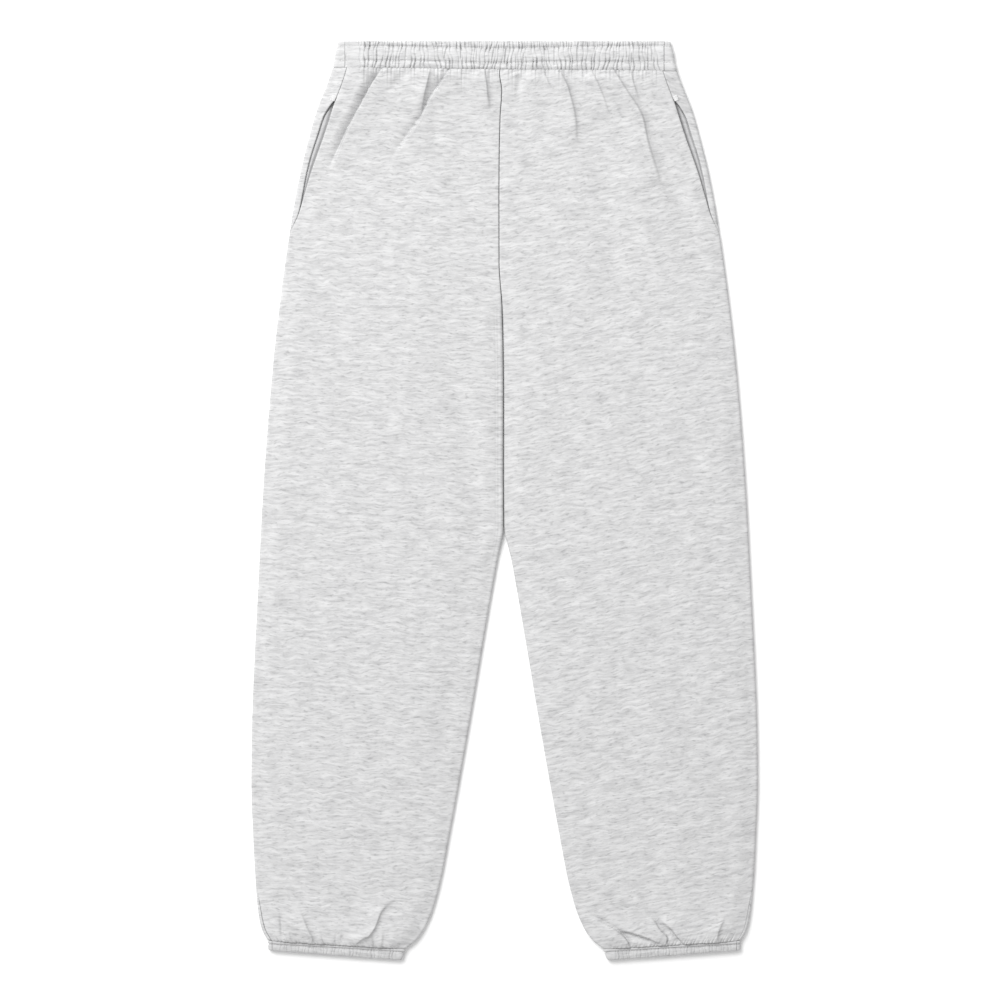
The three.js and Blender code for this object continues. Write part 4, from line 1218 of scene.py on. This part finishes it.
# A spindle's profile, as shares of its length and of its thickness
SPINDLE = [(-0.5, 0.0), (-0.3, 0.85), (0.0, 1.0), (0.3, 0.85), (0.5, 0.0)]
ROUND = 6  # sides of a spindle
THREAD_NOISE = {"cells": (2600, 2600, 2600), "detail": 1.0, "rough": 0.5}
THREAD_ROUGHNESS = 0.7


def spindles(centres, ahead, upwards, long, thick):
    """Points and faces of one spindle at each centre: rings round a line, closed by a point at each
    end."""
    ahead = ahead / np.linalg.norm(ahead, axis=1, keepdims=True)
    aside = np.cross(upwards, ahead)
    rings = [centres + ahead * (SPINDLE[0][0] * long)]
    for share, wide in SPINDLE[1:-1]:
        for a in np.arange(ROUND) * 2 * math.pi / ROUND:
            away = aside * math.cos(a) + upwards * math.sin(a)
            rings.append(centres + ahead * (share * long) + away * (wide * thick / 2))
    rings.append(centres + ahead * (SPINDLE[-1][0] * long))
    points = np.stack(rings, axis=1)
    k = np.arange(ROUND)
    after = (k + 1) % ROUND
    starts = [1 + ROUND * ring for ring in range(len(SPINDLE) - 2)]
    quads = [np.stack([a + k, a + after, b + after, b + k], axis=1)
             for a, b in zip(starts, starts[1:])]
    tip = 0 * k + points.shape[1] - 1
    caps = [np.stack([0 * k, 1 + after, 1 + k], axis=1),
            np.stack([tip, starts[-1] + k, starts[-1] + after], axis=1)]
    first = np.arange(len(centres))[:, None, None] * points.shape[1]
    quads = (np.concatenate(quads)[None] + first).reshape(-1, 4)
    triangles = (np.concatenate(caps)[None] + first).reshape(-1, 3)
    return points.reshape(-1, 3) * MM, quads, triangles


def add_stitches(name, centres, ahead, spun, long, thick):
    """One mesh of stitches that rides with the cloth."""
    upwards = np.broadcast_to(UP, centres.shape)
    points, quads, triangles = spindles(centres, ahead, upwards, long, thick)
    if facing_volume(points, quads, triangles) < 0:
        quads, triangles = quads[:, ::-1], triangles[:, ::-1]
    piece = put_mesh(name, points, quads, triangles, None, spun)
    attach(piece, "root")
    print(name, "has", len(centres), "stitches")


def make_thread(name, dark, light):
    """Spun thread: a plain grey with a little noise along it."""
    made, shader = material_shell(name, (light,) * 3, THREAD_ROUGHNESS)
    n = Nodes(made)
    where = n.add("ShaderNodeTexCoord").outputs["Object"]
    spun = n.noise(where, **THREAD_NOISE)
    n.link(n.mix(spun, (dark,) * 3, (light,) * 3), shader.inputs["Base Color"])
    return made


thread = make_thread("grey_thread", 0.6, 0.8)
# The bartack's thread is painted near white: a painted highlight for the light on the puffed cloth at
# the top of each pocket mouth.
highlight_tack_thread = make_thread("painted_highlight_thread", 0.78, 0.92)


def stitch_row(name, place, swell, wall, radius, face):
    """A row of stitches that lie on the face of a casing at the places x, y."""
    z = wall / 2 + radius + face * (radius + wall / 2 + swell + STITCH_PROUD)
    centres = np.column_stack([place, np.maximum(z, STITCH["thick"] / 2)])
    add_stitches(name, centres, np.gradient(centres, axis=0), thread, **STITCH)


def band_stitches(name, column, face):
    """A row of stitches along one sewn line of the waistband."""
    x = np.arange(*BAND_RUN, PITCH)
    drop = along(BAND_LINES, column, x, "x")
    swell = pressed_flat(band_swell(x, drop, BAND_SEEDS[face]), face, FLATTER["band"])
    stitch_row(name, np.column_stack([x, TOP - drop]), swell, CASING, CASING_RADIUS, face)


for column in ("first", "second"):
    band_stitches(f"waist_stitches_{column}", column, 1)
    band_stitches(f"waist_stitches_under_{column}", column, -1)


def cuff_stitches(side, name, face, seed):
    """The row of stitches along a cuff."""
    outer, course, down, length = cuff_course(side)
    s = np.arange(CUFF_INSET, length - CUFF_INSET, PITCH)
    swell = cuff_swell(s, np.full(s.shape, CUFF_LINE), cuff_depth(s, length), seed)
    place = outer + s[:, None] * course + CUFF_LINE * down
    stitch_row(name, place, pressed_flat(swell, face, FLATTER["cuff"]), CUFF_WALL, CUFF_RADIUS, face)


for leg, side in SIDES.items():
    cuff_stitches(side, f"cuff_stitches_{leg}", 1, 3 + side)
    cuff_stitches(side, f"cuff_stitches_under_{leg}", -1, 9 + side)

# %% [markdown]
# A bartack, a short bar of close stitches, holds the top of each pocket mouth. Its thread is
# painted near white, a painted highlight for the light on the puffed cloth there. It lies on
# cloth that has folds of its own, so the height under each stitch is looked up in the finished
# pieces.

# %% Bartacks
BARTACK = {"drop": 64.4, "out": 3.2, "stitches": 6, "pitch": 0.95, "slope": 0.35, "reach": 2.0}
BARTACK_STITCH = {"long": 6.4, "thick": 0.9}


def piece_points(names):
    """The points of some finished pieces together, in millimetres."""
    together = []
    for name in names:
        vertices = bpy.data.objects[name].data.vertices
        flat = np.empty(len(vertices) * 3, np.float32)
        vertices.foreach_get("co", flat)
        together.append(flat.reshape(-1, 3) / MM)
    return np.concatenate(together)


def bartack(side, leg):
    """The stitches of one bartack, each laid across the seam on the highest cloth near it."""
    points = piece_points((f"front_{leg}", f"back_{leg}"))
    steps = (np.arange(BARTACK["stitches"]) - (BARTACK["stitches"] - 1) / 2) * BARTACK["pitch"]
    drop = BARTACK["drop"] + steps
    inset = along(OUTSEAM, "seam", drop) - BARTACK["out"]
    x = side * (along(OUTER_EDGE, "half", drop) - inset)
    away = np.hypot(points[None, :, 0] - x[:, None], TOP - points[None, :, 1] - drop[:, None])
    high = np.where(away < BARTACK["reach"], points[None, :, 2], 0).max(axis=1)
    centres = np.column_stack([x, TOP - drop, high + BARTACK_STITCH["thick"] / 4])
    ahead = np.tile([1.0, BARTACK["slope"] * side, 0.0], (len(x), 1))
    add_stitches(f"bartack_{leg}", centres, ahead, highlight_tack_thread, **BARTACK_STITCH)


for leg, side in SIDES.items():
    bartack(side, leg)
